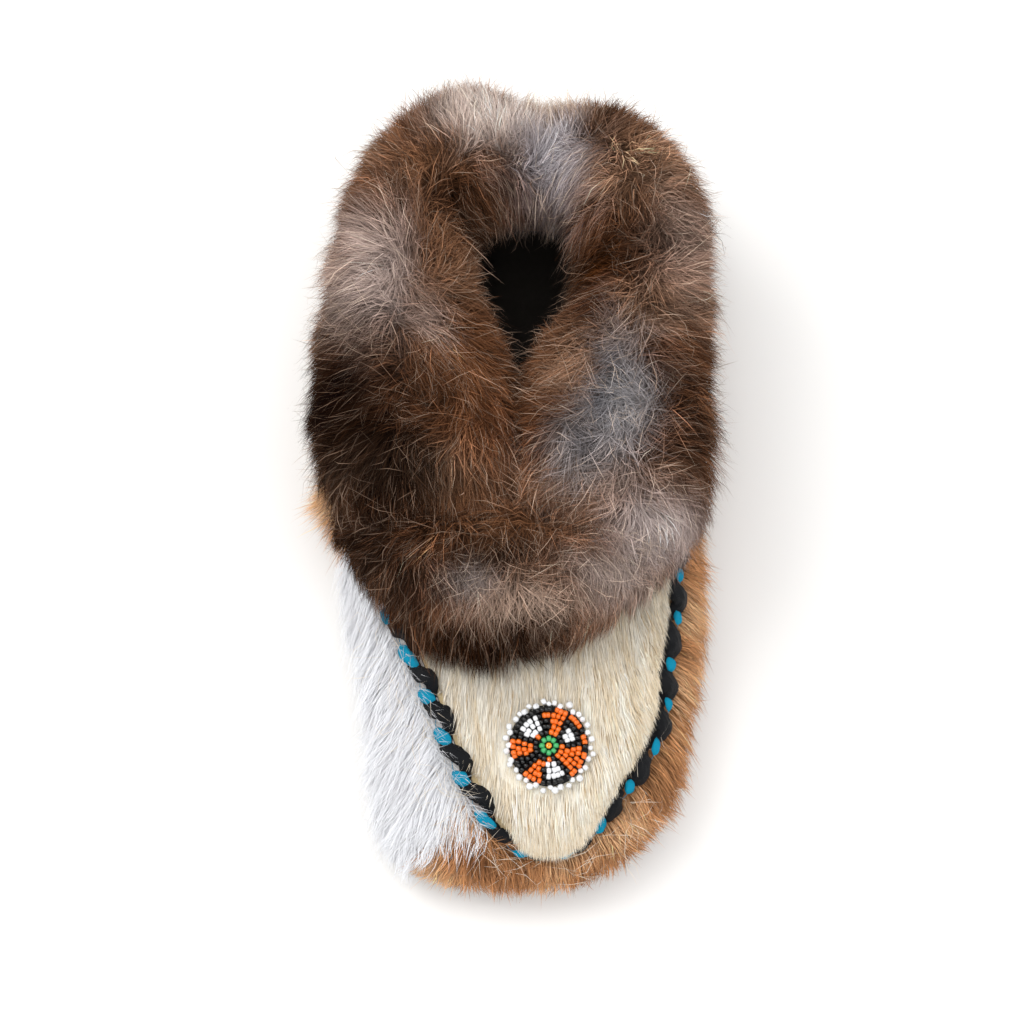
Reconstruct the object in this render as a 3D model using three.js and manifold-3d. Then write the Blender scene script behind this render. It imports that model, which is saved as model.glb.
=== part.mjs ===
// A moccasin slipper for the left foot: a hair-on hide side wall, a plug vamp with a beaded rosette,
// a two-strand twisted braid over the vamp seam, a deep fur cuff round the collar, a leather sole
// and a felt insole.
// Millimetres, +Z up. The toe points to -Y and +X is the outer side of the foot.
// The origin is on the floor, under the middle of the sole.

import * as THREE from "three";
import { mergeVertices } from "three/addons/utils/BufferGeometryUtils.js";
import Module from "manifold-3d";

const wasm = await Module();
wasm.setup();

// Driving sizes
const GAP = 0.3; // clearance between neighbouring pieces
const WALL = 2.6; // hide with its short hair lying flat
const WIDEST_Z = 17; // height at which the side wall bulges out most
const SOLE = { thickness: 4, springFrom: -104, spring: 4, ledge: 1.2, roundOver: 1.2 };
const INSOLE = { thickness: 3, margin: 0.6 };
const TOE = { centreY: -85, length: 56.5, left: 3.6, right: 2.3 }; // left and right are corner powers
const HEEL = { centreY: 72, length: 40, left: 2.3, right: 2.3 };
const COLLAR = { x: 3, y: 40, halfWidth: 33, halfLength: 56, power: 2.4 };
const BRAID = { pitch: 15, across: 2.6, upDown: 1.7, dark: 1.6, bright: 1.2, sides: 5, stepsPerTurn: 6 };
const BRAID_END = { left: -36, right: -32 }; // where the braid runs in under the fur, along Y
const ROSETTE = { x: 12.5, y: -98, radius: 14.6, rings: 6, base: 1.2, bead: 1.5, spokes: 20 };
const LOCK = { sweep: 52, width: 7, thickness: 2.6, lift: 3.6, root: 3 }; // sweep in degrees
const STEPS = { toe: 8, waist: 9, heel: 7 };
const ROLL_POWER = 0.88; // plumpness of a fur roll's section: 1 is an ellipse and less is boxier
const SKIRT = { power: 0.2, drop: 0.6 }; // the collar's outer hem hangs straight, and lower than its inner one

// Sections of the upper from toe to heel. left and right run from the ridge line to the widest line,
// ridge is the height of the top, tuck is how far the bottom edge lies inside the widest line, and
// square is the power of the section's curve: 2 is an ellipse and more is boxier.
const SECTIONS = [
  { y: -142, spine: 6, left: 52, right: 48, ridge: 34, tuck: 6, square: 2.5 },
  { y: -85, spine: 6, left: 53, right: 53, ridge: 43, tuck: 7, square: 2.5 },
  { y: -50, spine: 5, left: 59, right: 59, ridge: 54, tuck: 10, square: 2.5 },
  { y: -10, spine: 4, left: 63, right: 58, ridge: 67, tuck: 16, square: 2.8 },
  { y: 35, spine: 3, left: 56, right: 54, ridge: 75, tuck: 16, square: 3.6 },
  { y: 75, spine: 3, left: 47, right: 47, ridge: 78, tuck: 12, square: 4.2 },
  { y: 113, spine: 3, left: 45, right: 45, ridge: 78, tuck: 8, square: 4.2 },
];

// The seam between vamp and side wall, seen from above, from the collar to the tip of the toe.
const SEAM = [
  { y: 6, left: -20, right: 26 },
  { y: -14, left: -44, right: 51 },
  { y: -45, left: -41, right: 55 },
  { y: -66, left: -32, right: 52.5 },
  { y: -85, left: -24, right: 51 },
  { y: -100, left: -18.5, right: 46 },
  { y: -113, left: -12, right: 37 },
  { y: -124, left: -5, right: 28 },
  { y: -131, left: 4.5, right: 19 },
];

// Sections of the fur collar from the front right end, round the heel, to the front left end.
const FUR_COLLAR = [
  { innerX: 8, innerY: -26, outerX: 62, outerY: -38, crest: 80, hem: 50 },
  { innerX: 8, innerY: 0, outerX: 66, outerY: -4, crest: 92, hem: 46 },
  { innerX: 10, innerY: 24, outerX: 66, outerY: 28, crest: 97, hem: 43 },
  { innerX: 20, innerY: 48, outerX: 66, outerY: 60, crest: 100, hem: 42 },
  { innerX: 23, innerY: 67, outerX: 62, outerY: 94, crest: 101, hem: 42 },
  { innerX: 16, innerY: 75, outerX: 37, outerY: 118, crest: 101, hem: 42 },
  { innerX: 6, innerY: 76, outerX: 8, outerY: 118, crest: 97, hem: 44 },
  { innerX: -5, innerY: 75, outerX: -17, outerY: 125, crest: 102, hem: 42 },
  { innerX: -13, innerY: 67, outerX: -46, outerY: 107, crest: 102, hem: 42 },
  { innerX: -13, innerY: 48, outerX: -60, outerY: 68, crest: 101, hem: 42 },
  { innerX: -5, innerY: 24, outerX: -66, outerY: 30, crest: 98, hem: 43 },
  { innerX: -2, innerY: 0, outerX: -66, outerY: -2, crest: 93, hem: 46 },
  { innerX: -2, innerY: -28, outerX: -58, outerY: -30, crest: 82, hem: 50 },
];

// Sections of the fur roll across the front of the cuff, from the left end to the right end.
const FUR_FRONT = [
  { x: -57, y: -18, z: 56, deep: 12, tall: 11 },
  { x: -34, y: -33, z: 64, deep: 20, tall: 15 },
  { x: 0, y: -42, z: 67, deep: 26, tall: 17 },
  { x: 34, y: -40, z: 64, deep: 22, tall: 15 },
  { x: 60, y: -32, z: 55, deep: 12, tall: 11 },
];

// Rows of fur locks. Each row runs along one line of a fur section, given by its angle round the
// section in degrees: 0 faces away from the opening and 90 faces up.
const COLLAR_LOCKS = [
  { angle: 24, count: 16, reach: 1 },
  { angle: 58, count: 12, reach: 1 },
  { angle: 92, count: 11, reach: 1 },
  { angle: 128, count: 9, reach: 0.9 },
];
const FRONT_LOCKS = [
  { angle: 40, count: 8, reach: 1 },
  { angle: 82, count: 6, reach: 1 },
];

const hide = new THREE.MeshStandardMaterial({ color: 0xa9713f, roughness: 0.85, metalness: 0 });
const creamHide = new THREE.MeshStandardMaterial({ color: 0xe2cfa4, roughness: 0.8, metalness: 0 });
const fur = new THREE.MeshStandardMaterial({ color: 0x5b4436, roughness: 0.9, metalness: 0 });
const leather = new THREE.MeshStandardMaterial({ color: 0xb58a5c, roughness: 0.9, metalness: 0 });
const felt = new THREE.MeshStandardMaterial({ color: 0x3a332e, roughness: 1, metalness: 0 });
const blackRibbon = new THREE.MeshStandardMaterial({ color: 0x15171c, roughness: 0.5, metalness: 0 });
const blueRibbon = new THREE.MeshStandardMaterial({ color: 0x1b93b4, roughness: 0.8, metalness: 0 });
const beads = new THREE.MeshStandardMaterial({ color: 0xe8722a, roughness: 0.25, metalness: 0 });

// A value of a table's column at a place along the table, eased smoothly between rows.
function tableValue(rows, column, y) {
  let i = rows.findIndex((row) => row.y >= y) - 1;
  if (i === -2) i = rows.length - 2;
  i = Math.max(i, 0);
  const slope = (k) => {
    const before = rows[Math.max(k - 1, 0)];
    const after = rows[Math.min(k + 1, rows.length - 1)];
    return (after[column] - before[column]) / (after.y - before.y);
  };
  const span = rows[i + 1].y - rows[i].y;
  const t = THREE.MathUtils.clamp((y - rows[i].y) / span, 0, 1);
  const rise = rows[i + 1][column] - rows[i][column];
  const ease = 3 * t ** 2 - 2 * t ** 3;
  const start = (t ** 3 - 2 * t ** 2 + t) * span * slope(i);
  const stop = (t ** 3 - t ** 2) * span * slope(i + 1);
  return rows[i][column] + ease * rise + start + stop;
}

const sectionValue = (column, y) => tableValue(SECTIONS, column, y);
const sideOf = (x, y) => (x < sectionValue("spine", y) ? "left" : "right");
const clampToSpine = (y) => THREE.MathUtils.clamp(y, TOE.centreY, HEEL.centreY);

// How far y lies into the rounded toe or heel: 0 at its centre line and 1 at its tip.
function endShare(y, grow) {
  if (y < TOE.centreY) return (TOE.centreY - y) / (TOE.length + grow);
  if (y > HEEL.centreY) return (y - HEEL.centreY) / (HEEL.length + grow);
  return 0;
}

const cornerPower = (side, y) => (y < 0 ? TOE[side] : HEEL[side]);

// Half width from the ridge line to the widest line on one side, rounded off at toe and heel.
function halfWidth(side, y, grow) {
  const power = cornerPower(side, y);
  const along = Math.min(endShare(y, grow), 1);
  return (sectionValue(side, y) + grow) * (1 - along ** power) ** (1 / power);
}

// Height of the upper's outer surface above a point of the plan.
function topHeight(x, y, grow = 0) {
  const side = sideOf(x, y);
  const power = cornerPower(side, y);
  const across = Math.abs(x - sectionValue("spine", y)) / (sectionValue(side, y) + grow);
  const share = Math.min((across ** power + endShare(y, grow) ** power) ** (1 / power), 1);
  const square = sectionValue("square", y);
  return WIDEST_Z + (sectionValue("ridge", y) + grow - WIDEST_Z) * (1 - share ** square) ** (1 / square);
}

// Outward normal of the upper's outer surface above a point of the plan.
function topNormal(x, y) {
  const step = 0.5;
  const slopeX = (topHeight(x + step, y) - topHeight(x - step, y)) / (2 * step);
  const slopeY = (topHeight(x, y + step) - topHeight(x, y - step)) / (2 * step);
  return new THREE.Vector3(-slopeX, -slopeY, 1).normalize();
}

const onTop = (x, y, lift) =>
  new THREE.Vector3(x, y, topHeight(x, y)).addScaledVector(topNormal(x, y), lift);

// The sole is flat on the floor apart from the spring of the toe.
const soleBottom = (y) => SOLE.spring * (Math.max(SOLE.springFrom - y, 0) / (SOLE.springFrom + 142)) ** 2;
const soleTop = (y) => soleBottom(y) + SOLE.thickness;

// Places along the foot where sections are taken, closer together round toe and heel.
function stations(grow) {
  const found = [];
  for (let k = STEPS.toe; k > 0; k--) {
    const share = Math.sin((Math.PI / 2) * (k / STEPS.toe)) ** 0.7;
    found.push(TOE.centreY - share * (TOE.length + grow));
  }
  for (let k = 0; k <= STEPS.waist; k++) {
    found.push(THREE.MathUtils.lerp(TOE.centreY, HEEL.centreY, k / STEPS.waist));
  }
  for (let k = 1; k <= STEPS.heel; k++) {
    const share = Math.sin((Math.PI / 2) * (k / STEPS.heel)) ** 0.9;
    found.push(HEEL.centreY + share * (HEEL.length + grow));
  }
  return found;
}

// A ring of points round the foot: up the left side from toe to heel and back down the right side.
function footRing(grow, place) {
  const ys = stations(grow);
  const left = ys.map((y) => place("left", y));
  const right = ys.map((y) => place("right", y)).slice(1, -1);
  return [...left, ...right.reverse()];
}

// The widest line's point on one side of a station, and the ridge point that its profile rises to.
function profileEnds(side, y, grow) {
  const sign = side === "left" ? -1 : 1;
  const edge = new THREE.Vector2(sectionValue("spine", y) + sign * halfWidth(side, y, grow), y);
  const spineY = clampToSpine(y);
  return { edge, ridge: new THREE.Vector2(sectionValue("spine", spineY), spineY) };
}

// A ring of the dome above the widest line, at a share of the way out from the ridge.
function domeRing(share, grow) {
  return footRing(grow, (side, y) => {
    const { edge, ridge } = profileEnds(side, y, grow);
    const at = ridge.clone().lerp(edge, share);
    const z = share === 1 ? WIDEST_Z : topHeight(at.x, at.y, grow);
    return new THREE.Vector3(at.x, at.y, z);
  });
}

// The plan point of the wall's bottom edge, or a point moved in from there towards the ridge.
function feather(side, y, grow, tuckShare, inset = 0) {
  const { edge, ridge } = profileEnds(side, y, grow);
  const inward = ridge.clone().sub(edge);
  const most = inward.length() * 0.9;
  const tuck = Math.min(sectionValue("tuck", y) * tuckShare + inset, most);
  return edge.addScaledVector(inward.normalize(), tuck);
}

// A ring below the widest line, where the wall tucks in towards the sole: turn runs from 0 at the
// widest line to 90 degrees at the bottom edge.
function tuckRing(turn, grow, drop = 0) {
  const angle = THREE.MathUtils.degToRad(turn);
  return footRing(grow, (side, y) => {
    const at = feather(side, y, grow, 1 - Math.cos(angle));
    const low = soleTop(y) + GAP;
    return new THREE.Vector3(at.x, at.y, WIDEST_Z - (WIDEST_Z - low) * Math.sin(angle) - drop);
  });
}

// A flat ring at the sole's height, moved in from the wall's bottom edge.
function soleRing(inset, height) {
  return footRing(0, (side, y) => {
    const at = feather(side, y, 0, 1, inset);
    return new THREE.Vector3(at.x, at.y, height(y));
  });
}

// Skins over a stack of rings. Ends are closed by a fan, by zipping the ring's two sides together,
// or not at all where the ring has already shrunk to a line.
function loft(rings, ends) {
  const points = rings.flat();
  const count = rings[0].length;
  const faces = [];
  for (let k = 0; k + 1 < rings.length; k++) {
    for (let i = 0; i < count; i++) {
      const a = k * count + i;
      const b = k * count + ((i + 1) % count);
      faces.push([a, a + count, b], [b, a + count, b + count]);
    }
  }
  const closeEnd = (first, flip) => {
    const face = (a, b, c) => faces.push(flip ? [a, c, b] : [a, b, c]);
    if (ends === "fan") {
      const middle = new THREE.Vector3();
      for (let i = 0; i < count; i++) middle.addScaledVector(points[first + i], 1 / count);
      points.push(middle);
      for (let i = 0; i < count; i++) face(first + i, first + ((i + 1) % count), points.length - 1);
    } else {
      for (let i = 0; i < count / 2; i++) {
        const a = first + i;
        const b = first + i + 1;
        const c = first + ((count - i) % count);
        const d = first + count - i - 1;
        face(a, b, c);
        face(b, d, c);
      }
    }
  };
  closeEnd(0, false);
  if (ends !== "zip first") closeEnd((rings.length - 1) * count, true);
  const geometry = new THREE.BufferGeometry().setFromPoints(points);
  return geometry.setIndex(faces.flat());
}

// A closed geometry as a solid. Coincident points are merged, faces that collapsed are dropped, and a
// skin that came out inside out is turned.
function solidOf(geometry) {
  const bare = new THREE.BufferGeometry();
  bare.setAttribute("position", geometry.getAttribute("position").clone());
  bare.setIndex(geometry.index);
  const merged = mergeVertices(bare, 1e-3);
  const index = merged.index.array;
  const kept = [];
  for (let i = 0; i < index.length; i += 3) {
    const [a, b, c] = index.slice(i, i + 3);
    if (a !== b && b !== c && c !== a) kept.push(a, b, c);
  }
  const vertProperties = merged.getAttribute("position").array;
  const solidFrom = (faces) =>
    new wasm.Manifold(new wasm.Mesh({ numProp: 3, vertProperties, triVerts: new Uint32Array(faces) }));
  const solid = solidFrom(kept);
  return solid.volume() > 0 ? solid : solidFrom(kept.reverse());
}

// The largest body of a solid, without any slivers that a cut has left loose.
function mainBody(solid) {
  return solid.decompose().sort((a, b) => b.volume() - a.volume())[0];
}

function meshOf(name, solid, material) {
  const cut = mainBody(solid).getMesh();
  const geometry = new THREE.BufferGeometry();
  geometry.setAttribute("position", new THREE.BufferAttribute(cut.vertProperties, 3));
  geometry.setIndex(new THREE.BufferAttribute(cut.triVerts, 1));
  geometry.computeVertexNormals();
  const mesh = new THREE.Mesh(geometry, material);
  mesh.name = name;
  return mesh;
}

// The foot's outer form, whole and closed. drop carries it straight on below its bottom edge.
function footForm(grow, drop = 0) {
  const lower = [90, 60, 30].map((turn) => tuckRing(turn, grow));
  if (drop > 0) lower.unshift(tuckRing(90, grow, drop));
  const dome = [1, 0.985, 0.95, 0.89, 0.8, 0.68, 0.53, 0.36, 0.18, 0].map((share) => domeRing(share, grow));
  return solidOf(loft([...lower, ...dome], "zip first"));
}

// A tall upright prism over a plan outline.
function column(outline, low = -20, high = 150) {
  const geometry = new THREE.ExtrudeGeometry(new THREE.Shape(outline), {
    depth: high - low,
    bevelEnabled: false,
  });
  return solidOf(geometry.translate(0, 0, low));
}

function collarOutline(grow) {
  const power = 2 / COLLAR.power;
  const swell = (value) => Math.sign(value) * Math.abs(value) ** power;
  const points = [];
  for (let k = 0; k < 40; k++) {
    const turn = (2 * Math.PI * k) / 40;
    const x = COLLAR.x + (COLLAR.halfWidth + grow) * swell(Math.cos(turn));
    points.push(new THREE.Vector2(x, COLLAR.y + (COLLAR.halfLength + grow) * swell(Math.sin(turn))));
  }
  return points;
}

// The seam as one smooth curve, down the left side, round the tip and up the right side.
const seamCurve = new THREE.SplineCurve([
  ...SEAM.map((row) => new THREE.Vector2(row.left, row.y)),
  ...SEAM.map((row) => new THREE.Vector2(row.right, row.y)).reverse(),
]);

// The vamp's plan, with its seam moved outwards by grow. Its straight back edge lies in the collar.
function vampOutline(grow) {
  const count = 44;
  const points = [];
  for (let k = 0; k <= count; k++) {
    const tangent = seamCurve.getTangentAt(k / count);
    const at = seamCurve.getPointAt(k / count);
    points.push(new THREE.Vector2(at.x + tangent.y * grow, at.y - tangent.x * grow));
  }
  return points;
}

// Hide wall

const wallForm = footForm(0).subtract(footForm(-WALL, 8)).subtract(column(collarOutline(0)));
const upper = wallForm.subtract(column(vampOutline(GAP / 2)));
const vamp = wallForm.intersect(column(vampOutline(-GAP / 2)));

// Sole and insole

function soleSolid() {
  const rings = [
    soleRing(SOLE.roundOver - SOLE.ledge, soleBottom),
    soleRing(-SOLE.ledge, (y) => soleBottom(y) + SOLE.roundOver),
    soleRing(-SOLE.ledge, soleTop),
  ];
  return solidOf(loft(rings, "zip"));
}

function insoleSolid() {
  const inset = WALL + INSOLE.margin;
  const low = (y) => soleTop(y) + GAP;
  return solidOf(loft([soleRing(inset, low), soleRing(inset, (y) => low(y) + INSOLE.thickness)], "zip"));
}

// Fur cuff

const collarCurves = {
  inner: new THREE.CatmullRomCurve3(FUR_COLLAR.map((row) => new THREE.Vector3(row.innerX, row.innerY, 0))),
  outer: new THREE.CatmullRomCurve3(FUR_COLLAR.map((row) => new THREE.Vector3(row.outerX, row.outerY, 0))),
  heights: new THREE.CatmullRomCurve3(FUR_COLLAR.map((row) => new THREE.Vector3(row.crest, row.hem, 0))),
};
const frontCurves = {
  middle: new THREE.CatmullRomCurve3(FUR_FRONT.map((row) => new THREE.Vector3(row.x, row.y, row.z))),
  sizes: new THREE.CatmullRomCurve3(FUR_FRONT.map((row) => new THREE.Vector3(row.deep, row.tall, 0))),
};

// Shrinks a roll's section to a round end over the first and last share of its length.
function endTaper(t, share) {
  const away = Math.min(t, 1 - t) / share;
  return away >= 1 ? 1 : Math.sqrt(1 - (1 - away) ** 2);
}

// A fur section as its middle, its two half axes and its size at the ends.
function collarSection(t) {
  const inner = collarCurves.inner.getPoint(t);
  const outer = collarCurves.outer.getPoint(t);
  const { x: crest, y: hem } = collarCurves.heights.getPoint(t);
  const middle = inner.clone().lerp(outer, 0.5).setZ((crest + hem) / 2);
  const away = outer.clone().sub(inner).multiplyScalar(0.5);
  const up = new THREE.Vector3(0, 0, (crest - hem) / 2);
  return { middle, away, up, size: endTaper(t, 0.06), skirt: SKIRT };
}

function frontSection(t) {
  const { x: deep, y: tall } = frontCurves.sizes.getPoint(t);
  const along = frontCurves.middle.getTangent(t);
  const away = new THREE.Vector3(along.y, -along.x, 0).setLength(deep);
  const up = new THREE.Vector3(0, 0, tall);
  const skirt = { power: ROLL_POWER, drop: 0 };
  return { middle: frontCurves.middle.getPoint(t), away, up, size: endTaper(t, 0.12), skirt };
}

// A point of a fur section, at an angle round it: 0 faces away from the opening and 90 faces up.
function furPoint(section, degrees) {
  const angle = THREE.MathUtils.degToRad(degrees);
  const plump = (value) => Math.sign(value) * Math.abs(value) ** ROLL_POWER;
  let across = plump(Math.cos(angle));
  let rise = plump(Math.sin(angle));
  if (across > 0 && rise < 0) {
    across = Math.cos(angle) ** section.skirt.power;
    rise *= 1 + section.skirt.drop * across;
  }
  return section.middle
    .clone()
    .addScaledVector(section.away, section.size * across)
    .addScaledVector(section.up, section.size * rise);
}

function furRoll(sectionAt, steps, around) {
  const rings = [];
  for (let k = 0; k <= steps; k++) {
    const section = sectionAt(0.003 + (0.994 * k) / steps);
    const ring = [];
    for (let j = 0; j < around; j++) ring.push(furPoint(section, (-360 * j) / around));
    rings.push(ring);
  }
  return solidOf(loft(rings, "fan"));
}

// A tapered lock of fur with a four-sided section. It is rooted in the roll, follows its surface
// down by the lock's sweep and lifts off it towards the tip.
function furLock(sectionAt, t, angle, reach, sway) {
  const ringAt = (share, rise, size) => {
    const at = t + sway * share;
    const turn = angle - LOCK.sweep * reach * share;
    const point = furPoint(sectionAt(at), turn);
    const side = furPoint(sectionAt(at + 0.01), turn).sub(point).normalize();
    const out = point.clone().sub(sectionAt(at).middle).normalize();
    point.addScaledVector(out, rise);
    return [[1, 0], [0, 1], [-1, 0], [0, -1]].map(([w, h]) =>
      point
        .clone()
        .addScaledVector(side, w * size * LOCK.width)
        .addScaledVector(out, h * size * LOCK.thickness),
    );
  };
  const rings = [
    ringAt(0, -LOCK.root, 0.6),
    ringAt(0.45, LOCK.lift * 0.35, 1),
    ringAt(1, LOCK.lift, 0.06),
  ];
  return solidOf(loft(rings, "fan"));
}

// Rows of locks along a roll, staggered from row to row and varied by a fixed wave.
function addLocks(roll, sectionAt, rows) {
  let grown = roll;
  rows.forEach((row, r) => {
    for (let k = 0; k < row.count; k++) {
      const t = 0.05 + (0.9 * (k + (r % 2 ? 0.75 : 0.25))) / row.count;
      const wave = Math.sin(12.9 * k + 4.1 * r);
      const lock = furLock(sectionAt, t, row.angle + 8 * wave, row.reach * (1 + 0.18 * wave), 0.02 * wave);
      grown = grown.add(lock);
    }
  });
  return grown;
}

function cuffSolid() {
  const collar = addLocks(furRoll(collarSection, 36, 12), collarSection, COLLAR_LOCKS);
  const front = addLocks(furRoll(frontSection, 14, 10), frontSection, FRONT_LOCKS);
  const foot = footForm(GAP).subtract(column(collarOutline(-GAP)));
  return collar.add(front).subtract(foot);
}

// Braid over the seam

const seamLength = seamCurve.getLength();
const braidLift = BRAID.upDown + BRAID.dark + GAP;

// A point of the braid's middle line, and the directions across it and out of the upper.
function braidFrame(t) {
  const at = seamCurve.getPointAt(t);
  const out = topNormal(at.x, at.y);
  const tangent = seamCurve.getTangentAt(t);
  const across = new THREE.Vector3(tangent.x, tangent.y, 0).cross(out).normalize();
  return { middle: onTop(at.x, at.y, braidLift), out, across };
}

function braidStrand(radius, phase, from, to) {
  const turns = ((to - from) * seamLength) / BRAID.pitch;
  const steps = Math.round(turns * BRAID.stepsPerTurn);
  const points = [];
  for (let k = 0; k <= steps; k++) {
    const t = THREE.MathUtils.lerp(from, to, k / steps);
    const { middle, out, across } = braidFrame(t);
    const angle = phase + (2 * Math.PI * t * seamLength) / BRAID.pitch;
    middle.addScaledVector(across, BRAID.across * Math.cos(angle));
    points.push(middle.addScaledVector(out, BRAID.upDown * Math.sin(angle)));
  }
  const circle = new THREE.EllipseCurve(0, 0, radius, radius);
  const section = new THREE.Shape(circle.getPoints(BRAID.sides).slice(0, -1));
  const path = new THREE.CatmullRomCurve3(points);
  return solidOf(new THREE.ExtrudeGeometry(section, { steps, extrudePath: path }));
}

// The channel that the braid needs under the fur.
function braidChannel(from, to) {
  const rings = [];
  const reach = BRAID.across + BRAID.dark + GAP;
  for (let k = 0; k <= 40; k++) {
    const { middle, out, across } = braidFrame(THREE.MathUtils.lerp(from, to, k / 40));
    const ring = [];
    for (let j = 0; j < 8; j++) {
      const angle = (Math.PI * j) / 4;
      const at = middle.clone().addScaledVector(across, reach * Math.cos(angle));
      ring.push(at.addScaledVector(out, (braidLift + GAP) * Math.sin(angle)));
    }
    rings.push(ring);
  }
  return solidOf(loft(rings, "fan"));
}

// Rosette

// A beaded disc that follows the vamp: rings of beads stand up from a thin backing.
function rosetteSolid() {
  const levels = [];
  const spacing = ROSETTE.radius / (ROSETTE.rings + 0.5);
  levels.push({ radius: 0.01, lift: ROSETTE.base + ROSETTE.bead });
  for (let ring = 0; ring < ROSETTE.rings; ring++) {
    levels.push({ radius: spacing * (ring + 0.5), lift: ROSETTE.base });
    levels.push({ radius: spacing * (ring + 1), lift: ROSETTE.base + ROSETTE.bead });
  }
  levels.push({ radius: ROSETTE.radius, lift: ROSETTE.base });
  levels.push({ radius: ROSETTE.radius, lift: GAP });
  levels.push({ radius: ROSETTE.radius * 0.5, lift: GAP });
  levels.push({ radius: 0.01, lift: GAP });
  const rings = levels.map(({ radius, lift }) => {
    const ring = [];
    for (let k = 0; k < ROSETTE.spokes; k++) {
      const turn = (2 * Math.PI * k) / ROSETTE.spokes;
      const x = ROSETTE.x + radius * Math.cos(turn);
      ring.push(onTop(x, ROSETTE.y + radius * Math.sin(turn), lift));
    }
    return ring;
  });
  return solidOf(loft(rings, "fan"));
}

// Share of the seam's length at which it passes a place along the foot, on its left or right side.
function seamShare(side, y) {
  let t = side === "left" ? 0 : 1;
  const step = side === "left" ? 0.001 : -0.001;
  while (seamCurve.getPointAt(t).y > y) t += step;
  return t;
}

const braidFrom = seamShare("left", BRAID_END.left);
const braidTo = seamShare("right", BRAID_END.right);
const cuff = cuffSolid().subtract(braidChannel(braidFrom - 0.01, braidTo + 0.01));

const slipper = new THREE.Group();
slipper.add(
  meshOf("sole", soleSolid(), leather),
  meshOf("insole", insoleSolid(), felt),
  meshOf("upper", upper, hide),
  meshOf("vamp", vamp, creamHide),
  meshOf("fur_cuff", cuff, fur),
  meshOf("braid_black", braidStrand(BRAID.dark, 0, braidFrom, braidTo), blackRibbon),
  meshOf("braid_blue", braidStrand(BRAID.bright, Math.PI, braidFrom, braidTo), blueRibbon),
  meshOf("rosette", rosetteSolid(), beads),
);

export default slipper;
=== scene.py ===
import math
import bpy
import numpy as np
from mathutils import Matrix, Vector


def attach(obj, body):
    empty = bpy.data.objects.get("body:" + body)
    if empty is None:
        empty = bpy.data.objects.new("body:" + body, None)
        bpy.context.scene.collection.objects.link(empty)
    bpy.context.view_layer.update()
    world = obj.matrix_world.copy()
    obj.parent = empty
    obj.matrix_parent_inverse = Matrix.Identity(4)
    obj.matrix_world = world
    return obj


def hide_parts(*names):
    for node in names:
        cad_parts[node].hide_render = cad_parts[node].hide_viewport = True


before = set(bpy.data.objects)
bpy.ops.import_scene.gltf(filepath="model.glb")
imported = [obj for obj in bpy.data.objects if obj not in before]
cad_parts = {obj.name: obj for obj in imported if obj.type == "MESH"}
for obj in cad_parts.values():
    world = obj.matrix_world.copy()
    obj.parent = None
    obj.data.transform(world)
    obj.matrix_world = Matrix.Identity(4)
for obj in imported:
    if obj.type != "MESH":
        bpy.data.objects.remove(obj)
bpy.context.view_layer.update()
mm = 0.001
fullTurn, halfTurn, quarterTurn = 6.2832, 3.1416, 1.5708  # radians

# shared helpers are plain functions on arrays of millimetres


def toLinear(hexText):  # linear light of an sRGB colour
    parts = [int(hexText[i:i + 2], 16) / 255 for i in (1, 3, 5)]
    return np.array([v / 12.92 if v <= 0.04045 else ((v + 0.055) / 1.055) ** 2.4 for v in parts])


def rgba(hexText):
    return (*toLinear(hexText), 1.0)


def unit(v):
    return v / np.maximum(np.linalg.norm(v, axis=-1, keepdims=True), 1e-9)


def blend(one, other, share):
    return one + (other - one) * share


def ripple(p, size, seed):  # soft noise from -1 to 1 with features of about that size
    rng = np.random.default_rng(seed)
    total = np.zeros(len(p))
    turn = 6.283
    for _ in range(6):
        way = unit(rng.normal(size=3))
        total += np.sin(p @ way * (turn / size) * rng.uniform(0.6, 1.5) + rng.uniform(0, turn))
    return np.clip(total / 2.6, -1, 1)


def fromSpot(p, x, y, rx, ry):  # squared distance in the plan from a spot, 1 at its rim
    return ((p[:, 0] - x) / rx) ** 2 + ((p[:, 1] - y) / ry) ** 2


def along(table, key, y):  # a table's column at places y, eased between its rows
    ys, vs = np.array(table["y"], float), np.array(table[key], float)
    before, after = np.r_[0, np.arange(len(ys) - 1)], np.r_[np.arange(1, len(ys)), len(ys) - 1]
    slope = (vs[after] - vs[before]) / (ys[after] - ys[before])
    i = np.clip(np.searchsorted(ys, y) - 1, 0, len(ys) - 2)
    span = ys[i + 1] - ys[i]
    t = np.clip((y - ys[i]) / span, 0, 1)
    rise = (3 * t ** 2 - 2 * t ** 3) * (vs[i + 1] - vs[i])
    bend = (t ** 3 - 2 * t ** 2 + t) * slope[i] + (t ** 3 - t ** 2) * slope[i + 1]
    return vs[i] + rise + bend * span


def spline(points, t):  # a smooth curve through the points, t from 0 to 1
    p = np.asarray(points, float)
    s = np.clip(np.asarray(t, float), 0, 1) * (len(p) - 1)
    i = np.clip(s.astype(int), 0, len(p) - 2)
    f = (s - i)[..., None]
    a, b = p[np.maximum(i - 1, 0)], p[i]
    c, d = p[i + 1], p[np.minimum(i + 2, len(p) - 1)]
    return b + 0.5 * f * (c - a + f * (2 * a - 5 * b + 4 * c - d + f * (3 * (b - c) + d - a)))


def vertices(mesh):
    spots = np.empty(len(mesh.vertices) * 3, np.float32)
    mesh.vertices.foreach_get("co", spots)
    return spots.reshape(-1, 3).astype(float) / mm


def tubeFaces(rings, around):  # quads of a tube, ring after ring, and the numbers of its corners
    index = np.arange(rings * around).reshape(rings, around)
    onward = np.roll(index, -1, 1)
    return np.stack([index[:-1], onward[:-1], onward[1:], index[1:]], -1).reshape(-1, 4), index


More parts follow.
